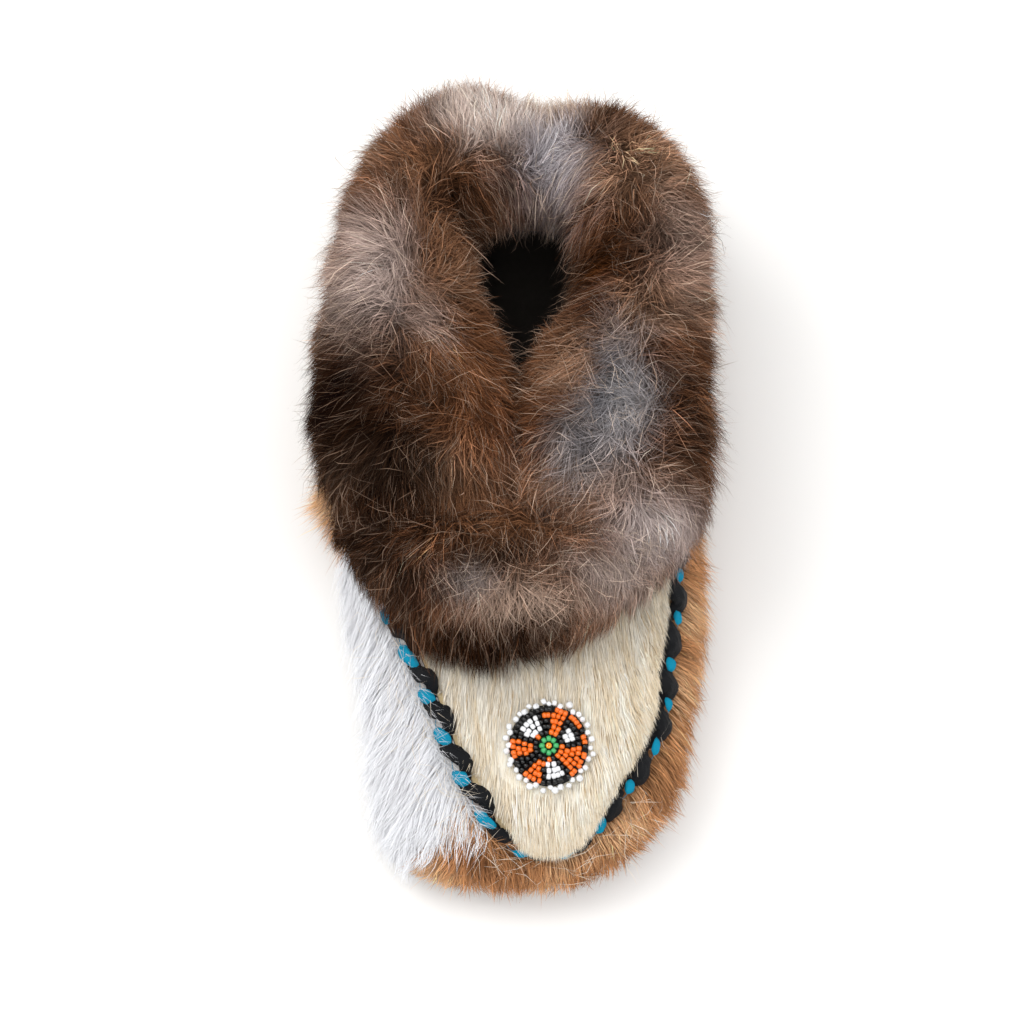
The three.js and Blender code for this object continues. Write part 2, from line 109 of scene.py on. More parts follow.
def smoothMesh(name, points, faces):
    mesh = bpy.data.meshes.new(name)
    mesh.from_pydata((points * mm).tolist(), [], faces)
    mesh.shade_smooth()
    return mesh


def newObject(name, mesh, material):
    piece = bpy.data.objects.new(name, mesh)
    bpy.context.scene.collection.objects.link(piece)
    for m in material if isinstance(material, list) else [material]:
        mesh.materials.append(m)
    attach(piece, "root")
    return piece


def addNode(tree, kind, links=None, **values):  # one node, its settings, and what feeds it
    node = tree.nodes.new(kind)
    for key, value in values.items():
        socket = key.replace("_", " ").title()
        if hasattr(node, key):
            setattr(node, key, value)
        else:
            next(s for s in node.inputs if s.name.title() == socket).default_value = value
    for socket, source in (links or {}).items():
        tree.links.new(source, node.inputs[socket])
    return node


def newMaterial(name, roughness, ior=1.5, **sockets):
    material = bpy.data.materials.new(name)
    material.use_nodes = True
    tree = material.node_tree
    shader = tree.nodes["Principled BSDF"]
    shader.inputs["Roughness"].default_value = roughness
    shader.inputs["IOR"].default_value = ior
    for key, value in sockets.items():
        shader.inputs[key.replace("_", " ")].default_value = value
    return material, tree, shader


def mottle(made, scale, detail, low, high, ends=(0.0, 1.0), **values):  # noise that runs between two colours
    _, tree, shader = made
    noise = addNode(tree, "ShaderNodeTexNoise", scale=scale, detail=detail, **values)
    ramp = addNode(tree, "ShaderNodeValToRGB", {"Fac": noise.outputs["Fac"]})
    for stop, colour, place in zip(ramp.color_ramp.elements, (low, high), ends):
        stop.color = colour
        stop.position = place
    tree.links.new(ramp.outputs["Color"], shader.inputs["Base Color"])
    return noise.outputs["Fac"], ramp.outputs["Color"]


def mixColours(made, factor, one, other, how="MIX"):  # the last three are each a value or what feeds it
    _, tree, shader = made
    mix = addNode(tree, "ShaderNodeMix", data_type="RGBA", blend_type=how)
    for socket, source in zip((mix.inputs[0], mix.inputs[6], mix.inputs[7]), (factor, one, other)):
        if isinstance(source, bpy.types.NodeSocket):
            tree.links.new(source, socket)
        else:
            socket.default_value = source
    tree.links.new(mix.outputs[2], shader.inputs["Base Color"])


def addBump(made, height, strength, distance):
    _, tree, shader = made
    bump = addNode(tree, "ShaderNodeBump", {"Height": height}, strength=strength, distance=distance)
    tree.links.new(bump.outputs["Normal"], shader.inputs["Normal"])


# the foot's form, the same sizes as the solids

toe = {"centreY": -85, "length": 56.5, "squareLeft": 3.6, "squareRight": 2.3}
heel = {"centreY": 72, "length": 40, "square": 2.3}
widestZ = 17
sections = {  # along the foot: middle line, half widths, height of the ridge, and how square it is across
    "y": [-142, -85, -50, -10, 35, 75, 113],
    "spine": [6, 6, 5, 4, 3, 3, 3],
    "left": [52, 53, 59, 63, 56, 47, 45],
    "right": [48, 53, 59, 58, 54, 47, 45],
    "ridge": [34, 43, 54, 67, 75, 78, 78],
    "square": [2.5, 2.5, 2.5, 2.8, 3.6, 4.2, 4.2],
}
seam = {  # both edges of the vamp, from under the cuff to the toe
    "y": [6, -14, -45, -66, -85, -100, -113, -124, -131],
    "left": [-20, -44, -41, -32, -24, -18.5, -12, -5, 4.5],
    "right": [26, 51, 55, 52.5, 51, 46, 37, 28, 19],
}
vampEnds = (-133, 6)
innerEnd = 0.44  # share of the seam's length, from the inner side, where that side ends


def topHeight(p):  # height of the hide's outer surface above points of the plan
    x, y = p[:, 0], p[:, 1]
    spine = along(sections, "spine", y)
    onLeft = x < spine
    width = np.where(onLeft, along(sections, "left", y), along(sections, "right", y))
    end = np.where(y < 0, (toe["centreY"] - y) / toe["length"], (y - heel["centreY"]) / heel["length"])
    end = np.clip(end, 0, None)
    power = np.where(y < 0, np.where(onLeft, toe["squareLeft"], toe["squareRight"]), heel["square"])
    share = np.minimum(((np.abs(x - spine) / width) ** power + end ** power) ** (1 / power), 1)
    square = along(sections, "square", y)
    return widestZ + (along(sections, "ridge", y) - widestZ) * (1 - share ** square) ** (1 / square)


def topNormal(p):
    slopeX, slopeY = (topHeight(p[:, :2] + step) - topHeight(p[:, :2] - step) for step in np.eye(2) / 2)
    return unit(np.stack([-slopeX, -slopeY, np.ones_like(slopeX)], -1))


def onTop(p, lift):
    return np.c_[p[:, :2], topHeight(p)] + topNormal(p) * np.asarray(lift)[..., None]


seamDown = [*zip(seam["left"], seam["y"]), *zip(seam["right"][::-1], seam["y"][::-1])]
seamFine = spline(seamDown, np.linspace(0, 1, 1200))
seamRun = np.r_[0, np.cumsum(np.linalg.norm(np.diff(seamFine, axis=0), axis=1))]
seamLong = seamRun[-1]


def seamAt(run):  # plan point of the seam at a length along it
    return np.stack([np.interp(run, seamRun, seamFine[:, k]) for k in (0, 1)], -1)


def seamAcross(run):  # plan direction out of the vamp at a length along the seam
    ahead = unit(seamAt(run + 0.5) - seamAt(run - 0.5))
    return np.c_[ahead[:, 1], -ahead[:, 0]]


def insideVamp(p, grow=0):
    x, y = p[:, 0], p[:, 1]
    left, right = (np.interp(y, seam["y"][::-1], seam[side][::-1]) for side in ("left", "right"))
    return (x > left - grow) & (x < right + grow) & (y > vampEnds[0] - grow) & (y < vampEnds[1] + grow)


def seamGap(p):  # how far inside the seam a point lies, minus when outside, and the seam's share there
    near, share = np.full(len(p), 1e9), np.zeros(len(p))
    for k in range(0, len(seamFine), 4):
        far = np.hypot(p[:, 0] - seamFine[k, 0], p[:, 1] - seamFine[k, 1])
        closer = far < near
        near[closer], share[closer] = far[closer], k / len(seamFine)
    return np.where(insideVamp(p), near, -near), share


def trimReach(share):  # mm past the seam that vamp hair covers: on the inner side it fills the puffs' notches
    places = [0.36, innerEnd, 0.47, 0.5, 0.55, 0.6, 0.66, 0.9]
    reach = np.interp(share, places, [-2.1, -2.1, 0.6, 1.8, 0.6, -1.6, -3.6, -4.0])
    run = np.interp(share, np.linspace(0, 1, len(seamRun)), seamRun)
    return reach - 1.2 * np.sin(twist(run)[0]) * (share < innerEnd)


# hair: every hair is a thin tapered blade along a bent line

# hair in its own colours: fairly rough, so it reflects softly, and the pelt hardly at all
hairFinish = {}
for slot, label, roughness, gloss in (
    ("cuff_fur", "rabbitPeltCombed", 0.7, 0.01), ("vamp_hide", "calfHairBrushed", 0.55, 0.15),
    ("side_hide", "cowHideHairOn", 0.6, 0.15),
):
    hairFinish[slot], tree, shader = newMaterial(label, roughness, ior=1.55, Specular_IOR_Level=gloss)
    colour = addNode(tree, "ShaderNodeAttribute", attribute_name="hairColour")
    tree.links.new(colour.outputs["Color"], shader.inputs["Base Color"])


def addHair(name, slot, roots, middles, tips, widths, face, colours, levels=(0, 0.5, 1)):
    n, k = len(roots), len(levels)
    rows = []
    for u in levels:
        line = (1 - u) ** 2 * roots + 2 * u * (1 - u) * middles + u * u * tips
        run = unit(2 * (1 - u) * (middles - roots) + 2 * u * (tips - middles) + 1e-6)
        side = unit(np.cross(run, face)) * (widths * (1 - u ** 1.6) * 0.5)[:, None]
        rows += [line - side, line + side] if u < 1 else [line]
    points = np.stack(rows, 1).astype(np.float32)
    per = 2 * k - 1
    loops = []
    for j in range(k - 2):
        loops += [2 * j, 2 * j + 1, 2 * j + 3, 2 * j + 2]
    loops += [2 * k - 4, 2 * k - 3, 2 * k - 2]
    starts = np.arange(k - 1) * 4
    mesh = bpy.data.meshes.new(name)
    mesh.vertices.add(n * per)
    mesh.loops.add(n * len(loops))
    mesh.polygons.add(n * len(starts))
    mesh.vertices.foreach_set("co", (points * mm).ravel())
    base = np.arange(n)[:, None]
    mesh.loops.foreach_set("vertex_index", (base * per + np.array(loops)).astype(np.int32).ravel())
    mesh.polygons.foreach_set("loop_start", (base * len(loops) + starts).astype(np.int32).ravel())
    mesh.update(calc_edges=True)
    mesh.polygons.foreach_set("use_smooth", np.ones(n * len(starts), bool))
    paint = mesh.color_attributes.new("hairColour", "FLOAT_COLOR", "POINT")
    stops = np.linspace(0, 1, colours.shape[1])
    shades = []
    for u in levels:
        i = min(int(np.searchsorted(stops, u, "right")) - 1, len(stops) - 2)
        f = (u - stops[i]) / (stops[i + 1] - stops[i])
        shade = colours[:, i] * (1 - f) + colours[:, i + 1] * f
        shades += [shade, shade] if u < 1 else [shade]
    full = np.ones((n, per, 4), np.float32)
    full[:, :, :3] = np.stack(shades, 1)
    paint.data.foreach_set("color", full.ravel())
    newObject(name, mesh, hairFinish[slot])
    print(name, n, "hairs")


def jitterFace(rng, normals, spread):  # blades face outwards, each turned a little its own way
    return unit(normals + rng.normal(size=normals.shape) * spread)


def alongSkin(way, normal, share=1.0):  # a direction without that share of its part out of the skin
    return unit(way - normal * np.sum(way * normal, 1)[:, None] * share)


def drawTogether(ends, lock, pull):  # moves hair ends towards the middle of their lock
    middle = np.stack([np.bincount(lock, ends[:, k]) for k in range(3)], 1) / np.bincount(lock)[:, None]
    return blend(ends, middle[lock], pull[:, None])


# fur cuff

furCuff = {
    "collarRun": 330, "rootDepth": 7.0, "peltDepth": 6.5, "lockWide": 2.4, "lockLong": 9,
    "dark": "#2f1c10", "brown": "#6e4932", "light": "#927059", "tip": "#d8c2ae",
}
furLayers = {  # a dense undercoat, and thin guard hairs over it; awns are stouter, bent, pale-ended hairs
    "Under": {"hairs": 62000, "awns": 0.0, "lift": 3.0, "rise": 1.8, "spread": 1.6, "width": (0.28, 0.44),
              "tones": 0.7, "levels": (0, 0.5, 1)},
    "Guard": {"hairs": 56000, "awns": 0.1, "lift": 6.0, "rise": 1.2, "spread": 2.0, "width": (0.15, 0.26),
              "tones": 1.0, "levels": (0, 0.35, 0.7, 1)},
}
collarLay = {  # degrees of the roll that grow hair, each layer's length, and how it hangs from the hem
    "low": -58, "high": 222, "Under": 12.5, "Guard": 16.5, "shortEnds": 0.0,
    "from": -34, "out": 0.3, "toe": 0.15, "down": 1.0, "settle": 0.0, "fluff": 4.0,
}
frontLay = {
    "low": -40, "high": 176, "Under": 12.5 * 1.15, "Guard": 19, "shortEnds": 0.5,
    "from": -4, "out": 0.12, "toe": 0.9, "down": 0.45, "settle": 0.75, "fluff": 0.0,
}
collarParts = [("Right", 0, 0.36, 100), ("Back", 0.36, 0.62, 110), ("Left", 0.62, 1, 120)]  # from, to, seed
mouth = {"x": 3, "y": 40, "halfWide": 31, "halfLong": 54}  # the opening for the foot
# inner x and y, outer x and y, top and bottom, from the front right end round the heel to the front left end
collarRows = [
    (-3, -26, 65, -42, 80, 50), (-2, 0, 67, -4, 92, 46), (3, 24, 66, 28, 97, 43), (19, 48, 66, 60, 100, 42),
    (24, 70, 62, 94, 101, 42), (16, 80, 37, 118, 101, 42), (6, 81, 8, 118, 97, 44),
    (-5, 80, -17, 125, 102, 42), (-14, 70, -46, 107, 102, 42), (-9, 48, -60, 68, 101, 42),
    (2, 24, -66, 30, 98, 43), (6, 0, -66, -2, 93, 46), (6, -28, -58, -30, 82, 50),
]
frontRows = [  # the roll's middle, its reach to the toe and its half height, from left to right
    (-57, -18, 56, 12, 11), (-34, -33, 64, 20, 15), (0, -42, 67, 26, 17),
    (34, -37, 64, 20, 15), (58, -27, 56, 10, 10),
]


def endTaper(t, share):
    away = np.minimum(t, 1 - t) / share
    return np.where(away >= 1, 1, np.sqrt(np.clip(1 - (1 - away) ** 2, 0.0004, 1)))


def plump(v):  # a rounder, fuller curve than the sine or cosine given
    return np.sign(v) * np.abs(v) ** 0.88


def rollPoint(middle, away, tall, size, degrees, inset):
    a = np.radians(degrees)
    reach = np.linalg.norm(away, axis=1)
    out = away / reach[:, None] * (np.maximum(reach - inset, 1) * size * plump(np.cos(a)))[:, None]
    point = middle + out
    point[:, 2] += np.maximum(tall - inset, 1) * size * plump(np.sin(a))
    return point


def collarPoint(t, degrees, inset=0.0):  # 0 faces away from the opening and 90 faces up
    beyond = np.abs(t - np.clip(t, 0, 1)) * furCuff["collarRun"]  # hair runs on past the ends, to the toe
    t = np.clip(t, 0, 1)
    row = spline(collarRows, t)
    inner, outer, top, low = row[:, 0:2], row[:, 2:4], row[:, 4], row[:, 5]
    middle = np.c_[(inner + outer) / 2, (top + low) / 2]
    away = np.c_[(outer - inner) / 2, np.zeros(len(row))]
    middle -= beyond[:, None] * np.array([0.0, 1.0, 0.25])
    size = np.maximum(endTaper(t, 0.06), 0.5)
    return rollPoint(middle, away, (top - low) / 2, size, degrees, inset)


def collarPart(first, part):  # a stretch of the collar as a roll of its own
    return lambda t, degrees, inset=0.0: collarPoint(first + t * part, degrees, inset)


def frontPoint(t, degrees, inset=0.0):
    t = np.clip(t, 0.002, 0.998)
    row = spline(frontRows, t)
    run = spline(frontRows, t + 0.01) - spline(frontRows, t - 0.01)
    away = unit(np.stack([run[:, 1], -run[:, 0], 0 * run[:, 0]], -1)) * row[:, 3:4]
    return rollPoint(row[:, :3], away, row[:, 4], endTaper(t, 0.12), degrees, inset)


def rollCross(place, t, degrees):  # square to a roll's surface, as long as its area there
    run = place(t + 0.004, degrees) - place(t - 0.004, degrees)
    return np.cross(run, place(t, degrees + 2) - place(t, degrees - 2))


def rollNormal(place, t, degrees):
    n = unit(rollCross(place, t, degrees))
    centre = (place(t, degrees) + place(t, degrees + 180)) / 2
    flip = np.sign(np.sum(n * (place(t, degrees) - centre), 1))[:, None]
    return n * np.where(flip == 0, 1, flip)


def spreadRoots(rng, place, count, low, high):  # even cover over a roll's surface
    t = rng.uniform(0, 1, count * 4)
    a = rng.uniform(low, high, count * 4)
    area = np.linalg.norm(rollCross(place, t, a), axis=1)
    keep = rng.uniform(0, 1, len(t)) < area / np.quantile(area, 0.97)
    return t[keep][:count], a[keep][:count]


# where the pelt is paler, redder, greyer or darker than its brown: plan place, size, colour and strength
peltPatches = [
    (-48, 53, 16, 22, "#c8b4ab", 0.95), (-24, 60, 10, 18, "#8a6247", 0.7), (-27, 36, 7, 6, "#c5afa4", 0.65),
    (-12, 16, 13, 30, "#7d5236", 0.75), (-7, 112, 20, 12, "#ecdbd1", 0.95), (-30, 97, 13, 14, "#6b452b", 0.7),
    (-21, 81, 7, 6, "#2b180d", 0.8), (-12, 72, 6, 6, "#20120a", 0.85), (15, 97, 13, 15, "#cbc6cb", 0.95),
    (15, 120, 9, 7, "#dcc5af", 0.8), (44, 95, 19, 15, "#9a755c", 0.75), (60, 65, 11, 21, "#ab8f80", 0.8),
    (27, 52, 14, 25, "#381e0b", 1.0), (37, 10, 12, 22, "#aeabad", 0.95), (22, -7, 14, 11, "#a19a99", 0.85),
    (34, 22, 4, 7, "#47464b", 0.85), (24, -4, 5, 6, "#47464b", 0.8), (31, 7, 3.5, 9, "#4c4d53", 0.75),
    (20, 23, 9, 10, "#a27c62", 0.7), (65, 14, 11, 28, "#4a301f", 0.85), (57, -9, 12, 14, "#5c3f2e", 0.7),
    (-61, 10, 21, 36, "#180b04", 1.0), (-41, -14, 25, 21, "#160c06", 0.94), (-3, -3, 10, 16, "#6d432a", 0.6),
    (49, -30, 17, 10, "#d6c6c1", 0.95), (34, -46, 16, 9, "#b0a098", 0.85), (-14, -49, 11, 6, "#a09591", 0.85),
    (-1, -40, 17, 5.5, "#1d1512", 0.97), (6, -57, 16, 7, "#b8a08f", 0.85), (-5, -70, 30, 8, "#1c0c03", 0.97),
    (1, -27, 20, 9, "#7a5339", 0.8), (-34, -52, 15, 11, "#2d1c13", 0.92), (-50, -38, 10, 10, "#2b1c13", 0.92),
]
streakyPlaces = [(64, 14, 14, 30), (50, 80, 22, 26), (-38, -38, 18, 14)]  # plan place and size
apronEdge = {  # where the cuff ends over the vamp
    "x": [-64, -47, -32, -18, -2, 15, 39, 58, 68], "y": [-30, -53, -70, -74.5, -76, -69.5, -55, -38, -30],
}


def peltBase(p):
    base = np.tile(toLinear(furCuff["brown"]), (len(p), 1))
    light, dark = toLinear(furCuff["light"]), toLinear(furCuff["dark"])
    tone = ripple(p, size=46, seed=3)[:, None]
    base = np.where(tone > 0, blend(base, light, tone * 0.7), blend(base, dark, -tone * 0.6))
    for k, (x, y, rx, ry, colour, strength) in enumerate(peltPatches):
        ragged = 1 + 0.35 * ripple(p, size=17, seed=40 + k)
        weight = np.exp(-(fromSpot(p, x, y, rx, ry) * ragged) ** 1.25) * strength
        base = blend(base, toLinear(colour), weight[:, None])
    return base


def peltColour(rng, p, layer, awn, strand):  # each hair's root, middle, near tip and tip
    n = len(p)
    base = peltBase(p)
    tone = np.clip(base.mean(1, keepdims=True) / 0.35, 0, 1)
    shade = np.exp(rng.normal(0, 1, (n, 1)) * (0.46 - 0.26 * tone) * furLayers[layer]["tones"])
    spread = np.full(n, 0.52)  # locks differ in tone, in some places more
    for place in streakyPlaces:
        spread += 0.4 * np.exp(-fromSpot(p, *place))
    lock = np.exp(rng.normal(0, 1, strand.max() + 1)[strand] * spread - 0.3 * spread ** 2)[:, None]
    shade *= lock ** (1 - 0.55 * tone)
    middle = base * shade
    # roots darker, the more so the darker the fur: painted shade deep in the coat
    root = base * (0.2 + 0.5 * tone)
    tip = middle * 0.95
    if layer == "Guard":
        pick = rng.uniform(0, 1, n)[:, None]
        pale, warm = toLinear(furCuff["tip"]), toLinear(furCuff["light"]) * 0.8
        paleTip = blend(base, pale, 0.62 * np.clip((tone - 0.02) / 0.2, 0, 1) ** 0.5 + 0.25 * tone)
        tip = np.where(pick < 0.25 - 0.1 * tone, paleTip * shade ** 0.5, tip)
        tip = np.where(pick > 0.66, middle * 0.6, tip)
        awnTip = blend(base, blend(warm, pale, tone ** 0.4), 0.46 + 0.5 * tone ** 0.5)
        tip = np.where(awn[:, None], awnTip * shade ** 0.6, tip)
    nearTip = np.where(awn[:, None], (middle + 3 * tip) / 4, middle)
    return np.clip(np.stack([root, middle, nearTip, tip], 1), 0.002, 0.9)


def furCoat(label, layer, place, count, seed, lean, lay):
    coat = furLayers[layer]
    rng = np.random.default_rng(seed)
    t, a = spreadRoots(rng, place, count, lay["low"], lay["high"])
    n = len(t)
    skin = place(t, a, furCuff["rootDepth"])
    long = lay[layer] * np.exp(rng.normal(0, 0.2, n)) * (1 - lay["shortEnds"] * np.abs(2 * t - 1) ** 3)
    run = np.linalg.norm(place(t + 0.005, a) - place(t - 0.005, a), axis=1) / 0.01  # mm for t of 1
    arc = np.linalg.norm(place(t, a + 2) - place(t, a - 2), axis=1) / 4  # mm for one degree
    out, aside = lean(t=t, a=a, p=skin, run=run, arc=arc)
    awn = rng.uniform(0, 1, n) < coat["awns"]
    strandT = np.floor(t * run / furCuff["lockWide"] + 0.8 * ripple(skin, size=9, seed=seed + 5))
    strandA = np.floor(a * arc / furCuff["lockLong"] + 0.8 * ripple(skin, size=12, seed=seed + 6))
    _, strand = np.unique(strandT * 1000 + strandA, return_inverse=True)
    together = rng.normal(0, 0.26, strand.max() + 1)[strand]  # a lock's hairs head the same way
    long = np.where(awn, long * 0.8, long)
    stray = np.where(awn, 0.6 * rng.normal(0, 1, n), 0.2 * rng.normal(0, 1, n) + together)
    turn = 0.5 * ripple(skin, size=26, seed=101) + 0.32 * ripple(skin, size=10, seed=104) + stray
    mess = np.clip(1.1 - np.hypot(out, aside), 0, 1)  # at a parting hair lies every way, in small tufts
    tuft = 3.6 * ripple(skin, size=15, seed=107) + rng.normal(0, 0.6, n)
    out, aside = out + mess * np.cos(tuft), aside + mess * np.sin(tuft)
    size = np.maximum(np.hypot(out, aside), 0.2)
    heading = (out * np.cos(turn) - aside * np.sin(turn)) / size
    sideways = (out * np.sin(turn) + aside * np.cos(turn)) / size
    stepA = -heading * long / np.maximum(arc, 0.15)
    stepT = sideways * long / np.maximum(run, 120)
    raised = rng.uniform(0, 1, strand.max() + 1)[strand]  # a lock lies above or below the next as one
    lift = (0.4 * rng.uniform(0, 1, n) + 0.6 * raised) ** coat["rise"] * coat["lift"]
    lift = np.where(awn, lift * 0.6 + rng.uniform(1.5, 4.5, n), lift)
    lift = lift + mess * rng.uniform(0, 3.5, n) + lay["fluff"] * np.clip(np.cos(np.radians(a)), 0, 1)

    def laid(share, inset):  # a place part of the way along the hair, and the way out from the pelt there
        tt, aa = t + stepT * share, a + stepA * share
        edge = np.maximum(lay["from"] - aa, 0)
        point = place(tt, np.maximum(aa, lay["from"]), inset)
        normal = rollNormal(place, tt, np.maximum(aa, lay["from"]))
        flat = unit(normal * np.array([1.0, 1.0, 0.0]))
        down = unit(flat * lay["out"] + np.array([0.0, -lay["toe"], -lay["down"]]))
        return point + down * (edge * arc)[:, None], normal

    mid, normalMid = laid(0.5, 1.5)
    end, normalEnd = laid(1.0, 1.0)
    bent = np.where(awn, 3.0, 1.5)[:, None]
    mid = mid + normalMid * (lift * 0.6)[:, None] + rng.normal(0, 1, (n, 3)) * bent
    end = end + normalEnd * lift[:, None] + rng.normal(0, coat["spread"], (n, 3))
    end = drawTogether(end, strand, np.where(awn, 0.1, 0.55) * rng.uniform(0.3, 1, n))
    edge = np.interp(end[:, 0], apronEdge["x"], apronEdge["y"]) + rng.normal(1.0, 2.4, n)
    edge += 2.2 * ripple(end, size=11, seed=108)
    room = (skin[:, 1] - edge) / np.maximum(skin[:, 1] - end[:, 1], 0.5)
    room = np.where(end[:, 1] < edge, np.clip(room, 0.05, 1), 1)[:, None]
    mid, end = blend(skin, mid, room), blend(skin, end, room)
    for spot, share in ((mid, 0.5), (end, 1.0)):  # hair rests on the hide, and may hang into the opening
        opening = np.abs(spot[:, 0] - mouth["x"]) < mouth["halfWide"]
        opening &= np.abs(spot[:, 1] - mouth["y"]) < mouth["halfLong"]
        rest = topHeight(spot) + 0.4 + 0.35 * lift
        over = (rest > 20) & ~opening & (spot[:, 1] < 20)
        settle = lay["settle"] * np.clip((30 - a - stepA) / 50, 0, 1) * share
        spot[:, 2] += np.where(over, np.minimum(rest + 1.5 - spot[:, 2], 0) * settle, 0)
        spot[:, 2] = np.where(over, np.maximum(spot[:, 2], rest), spot[:, 2])
    widths = rng.uniform(*coat["width"], n)
    face = jitterFace(rng, normalMid, 0.5)
    widths = np.where(awn, rng.uniform(0.22, 0.34, n), widths)
    colours = peltColour(rng, mid, layer, awn, strand)
    name = f"fur{layer}{label}"
    addHair(name, "cuff_fur", skin, mid, end, widths, face, colours, coat["levels"])


def collarLean(a, p, **others):  # out over the roll and into the opening from a parting near the crest
    compass = np.arctan2(p[:, 1] - mouth["y"], p[:, 0] - mouth["x"])
    parting = np.interp(compass, [-1.6, 0.4, 1.2, 1.9, 2.6, 3.2], [92, 94, 112, 112, 104, 102])
    parting = np.where((p[:, 0] < mouth["x"]) & (p[:, 1] < mouth["y"]), 104, parting)
    wander = 22 * ripple(p, size=42, seed=9) + 12 * ripple(p, size=19, seed=10)
    out = np.tanh((parting + wander - a) / 30)
    near = np.clip((62 - p[:, 1]) / 90, 0, 1)
    aside = np.where(p[:, 0] < mouth["x"], 0.95, -0.6) * near + 0.3 * ripple(p, size=40, seed=8)
    return out * (1 - 0.3 * near), aside


def frontLean(t, a, run, arc, **others):  # fans out over the vamp, turning round a whorl in the middle
    out = np.tanh((140 - a) / 20)
    aside = np.clip((t - 0.46) * 0.8, -0.25, 0.25)
    x, y = (t - 0.5) * run, (a - 74) * arc
    far = np.maximum(np.hypot(x, y), 0.5)
    near = 0.6 * np.exp(-(far / 14) ** 2)
    spin = 1.25
    outWhorl = -(y * np.cos(spin) + x * np.sin(spin)) / far
    asideWhorl = (x * np.cos(spin) - y * np.sin(spin)) / far
    return out * (1 - near) + outWhorl * near * 1.2, aside * (1 - near) + asideWhorl * near * 1.2


def buildFurCuff():
    points, faces, total = [], [], 0
    for place, steps, around in ((collarPoint, 110, 36), (frontPoint, 50, 28)):
        t, a = np.meshgrid(np.linspace(0.004, 0.996, steps), np.arange(around) * 360 / around, indexing="ij")
        p = place(t.ravel(), a.ravel(), furCuff["peltDepth"])
        x, y = p[:, 0] - mouth["x"], p[:, 1]
        outside = np.hypot(x, (y - mouth["y"]) * 0.6) > 34
        inFront = (y < -16) & ((y < -17) | (np.abs(x) > 36))
        low = topHeight(p) + 0.4
        p[:, 2] = np.where(outside & inFront, np.maximum(p[:, 2], low), p[:, 2])
        quads, index = tubeFaces(steps, around)
        faces += (quads + total).tolist() + [(index[0] + total).tolist(), (index[-1][::-1] + total).tolist()]
        points.append(p)
        total += len(p)
    points = np.concatenate(points)
    mesh = smoothMesh("cuffPelt", points, faces)
    full = np.ones((total, 4), np.float32)
    # hair colours at 0.6: painted shade where the skin shows between hairs
    full[:, :3] = peltBase(points) * 0.6
    mesh.color_attributes.new("peltShade", "FLOAT_COLOR", "POINT").data.foreach_set("color", full.ravel())
    # pelt skin under the hair: dull and mottled in the hair's own colours, darkened as painted shade, it only
    # shows between hairs
    made = newMaterial("rabbitPeltUndercoat", 0.9, Specular_IOR_Level=0.05)
    _, mottled = mottle(made, 120.0, 4.0, (0.45, 0.45, 0.45, 1), (1, 1, 1, 1))
    shade = addNode(made[1], "ShaderNodeAttribute", attribute_name="peltShade")
    mixColours(made, 1.0, shade.outputs["Color"], mottled, "MULTIPLY")
    pelt = newObject("cuffPelt", mesh, made[0])
    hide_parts("fur_cuff")
    coats = []
    for label, low, high, seed in collarParts:
        coats.append((label, collarPart(low, high - low), high - low, seed, collarLean, collarLay))
    coats.append(("Front", frontPoint, 0.27, 150, frontLean, frontLay))
    for label, place, share, seed, lean, lay in coats:
        for k, layer in enumerate(furLayers):
            furCoat(label, layer, place, int(furLayers[layer]["hairs"] * share), seed + k, lean, lay)


# hide with its hair: side wall and vamp


def scatter(node, count, seed):  # even points on a solid's faces, with the faces' normals, in millimetres
    rng = np.random.default_rng(seed)
    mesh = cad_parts[node].data
    mesh.calc_loop_triangles()
    corners = np.empty(len(mesh.loop_triangles) * 3, np.int32)
    mesh.loop_triangles.foreach_get("vertices", corners)
    p = vertices(mesh)[corners.reshape(-1, 3)]
    flat = np.cross(p[:, 1] - p[:, 0], p[:, 2] - p[:, 0])
    area = np.linalg.norm(flat, axis=1)
    pick = rng.choice(len(p), count, p=area / area.sum())
    w = rng.dirichlet((1, 1, 1), count)
    return np.einsum("nk,nkd->nd", w, p[pick]), unit(flat[pick])


def refined(node, name, material):  # the solid's own form, shaded smooth
    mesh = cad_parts[node].data.copy()
    mesh.materials.clear()
    mesh.name = name
    piece = newObject(name, mesh, material)
    mesh.shade_smooth()
    mesh.set_sharp_from_angle(angle=math.radians(38))
    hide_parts(node)
    return piece


sideHide = {
    "hairs": 56000, "tries": 170000, "wisps": 750, "loose": 170, "length": 12.5, "seed": 210, "clearTo": 0.46,
    "brown": "#c08a5c", "light": "#deb48a", "dark": "#92623d", "white": "#ecedf0", "whiteShade": "#dcdcdf",
    "stray": "#efe2cf",
}
whitePatch = {"right": 4, "toe": -122, "corner": -8, "slope": 0.75, "back": -22}


def whiteShare(p):  # the white patch of the hide: inner side from the cuff to the corner of the toe
    edge = 6 * ripple(p, size=22, seed=71)
    toLeft = (whitePatch["right"] - p[:, 0] + edge) / 10
    toToe = (p[:, 1] - whitePatch["toe"] - whitePatch["slope"] * (p[:, 0] - whitePatch["corner"]) + edge) / 10
    toBack = (whitePatch["back"] - p[:, 1] + edge * 0.6) / 6
    return np.clip(np.minimum(np.minimum(toLeft, toToe), toBack), 0, 1)


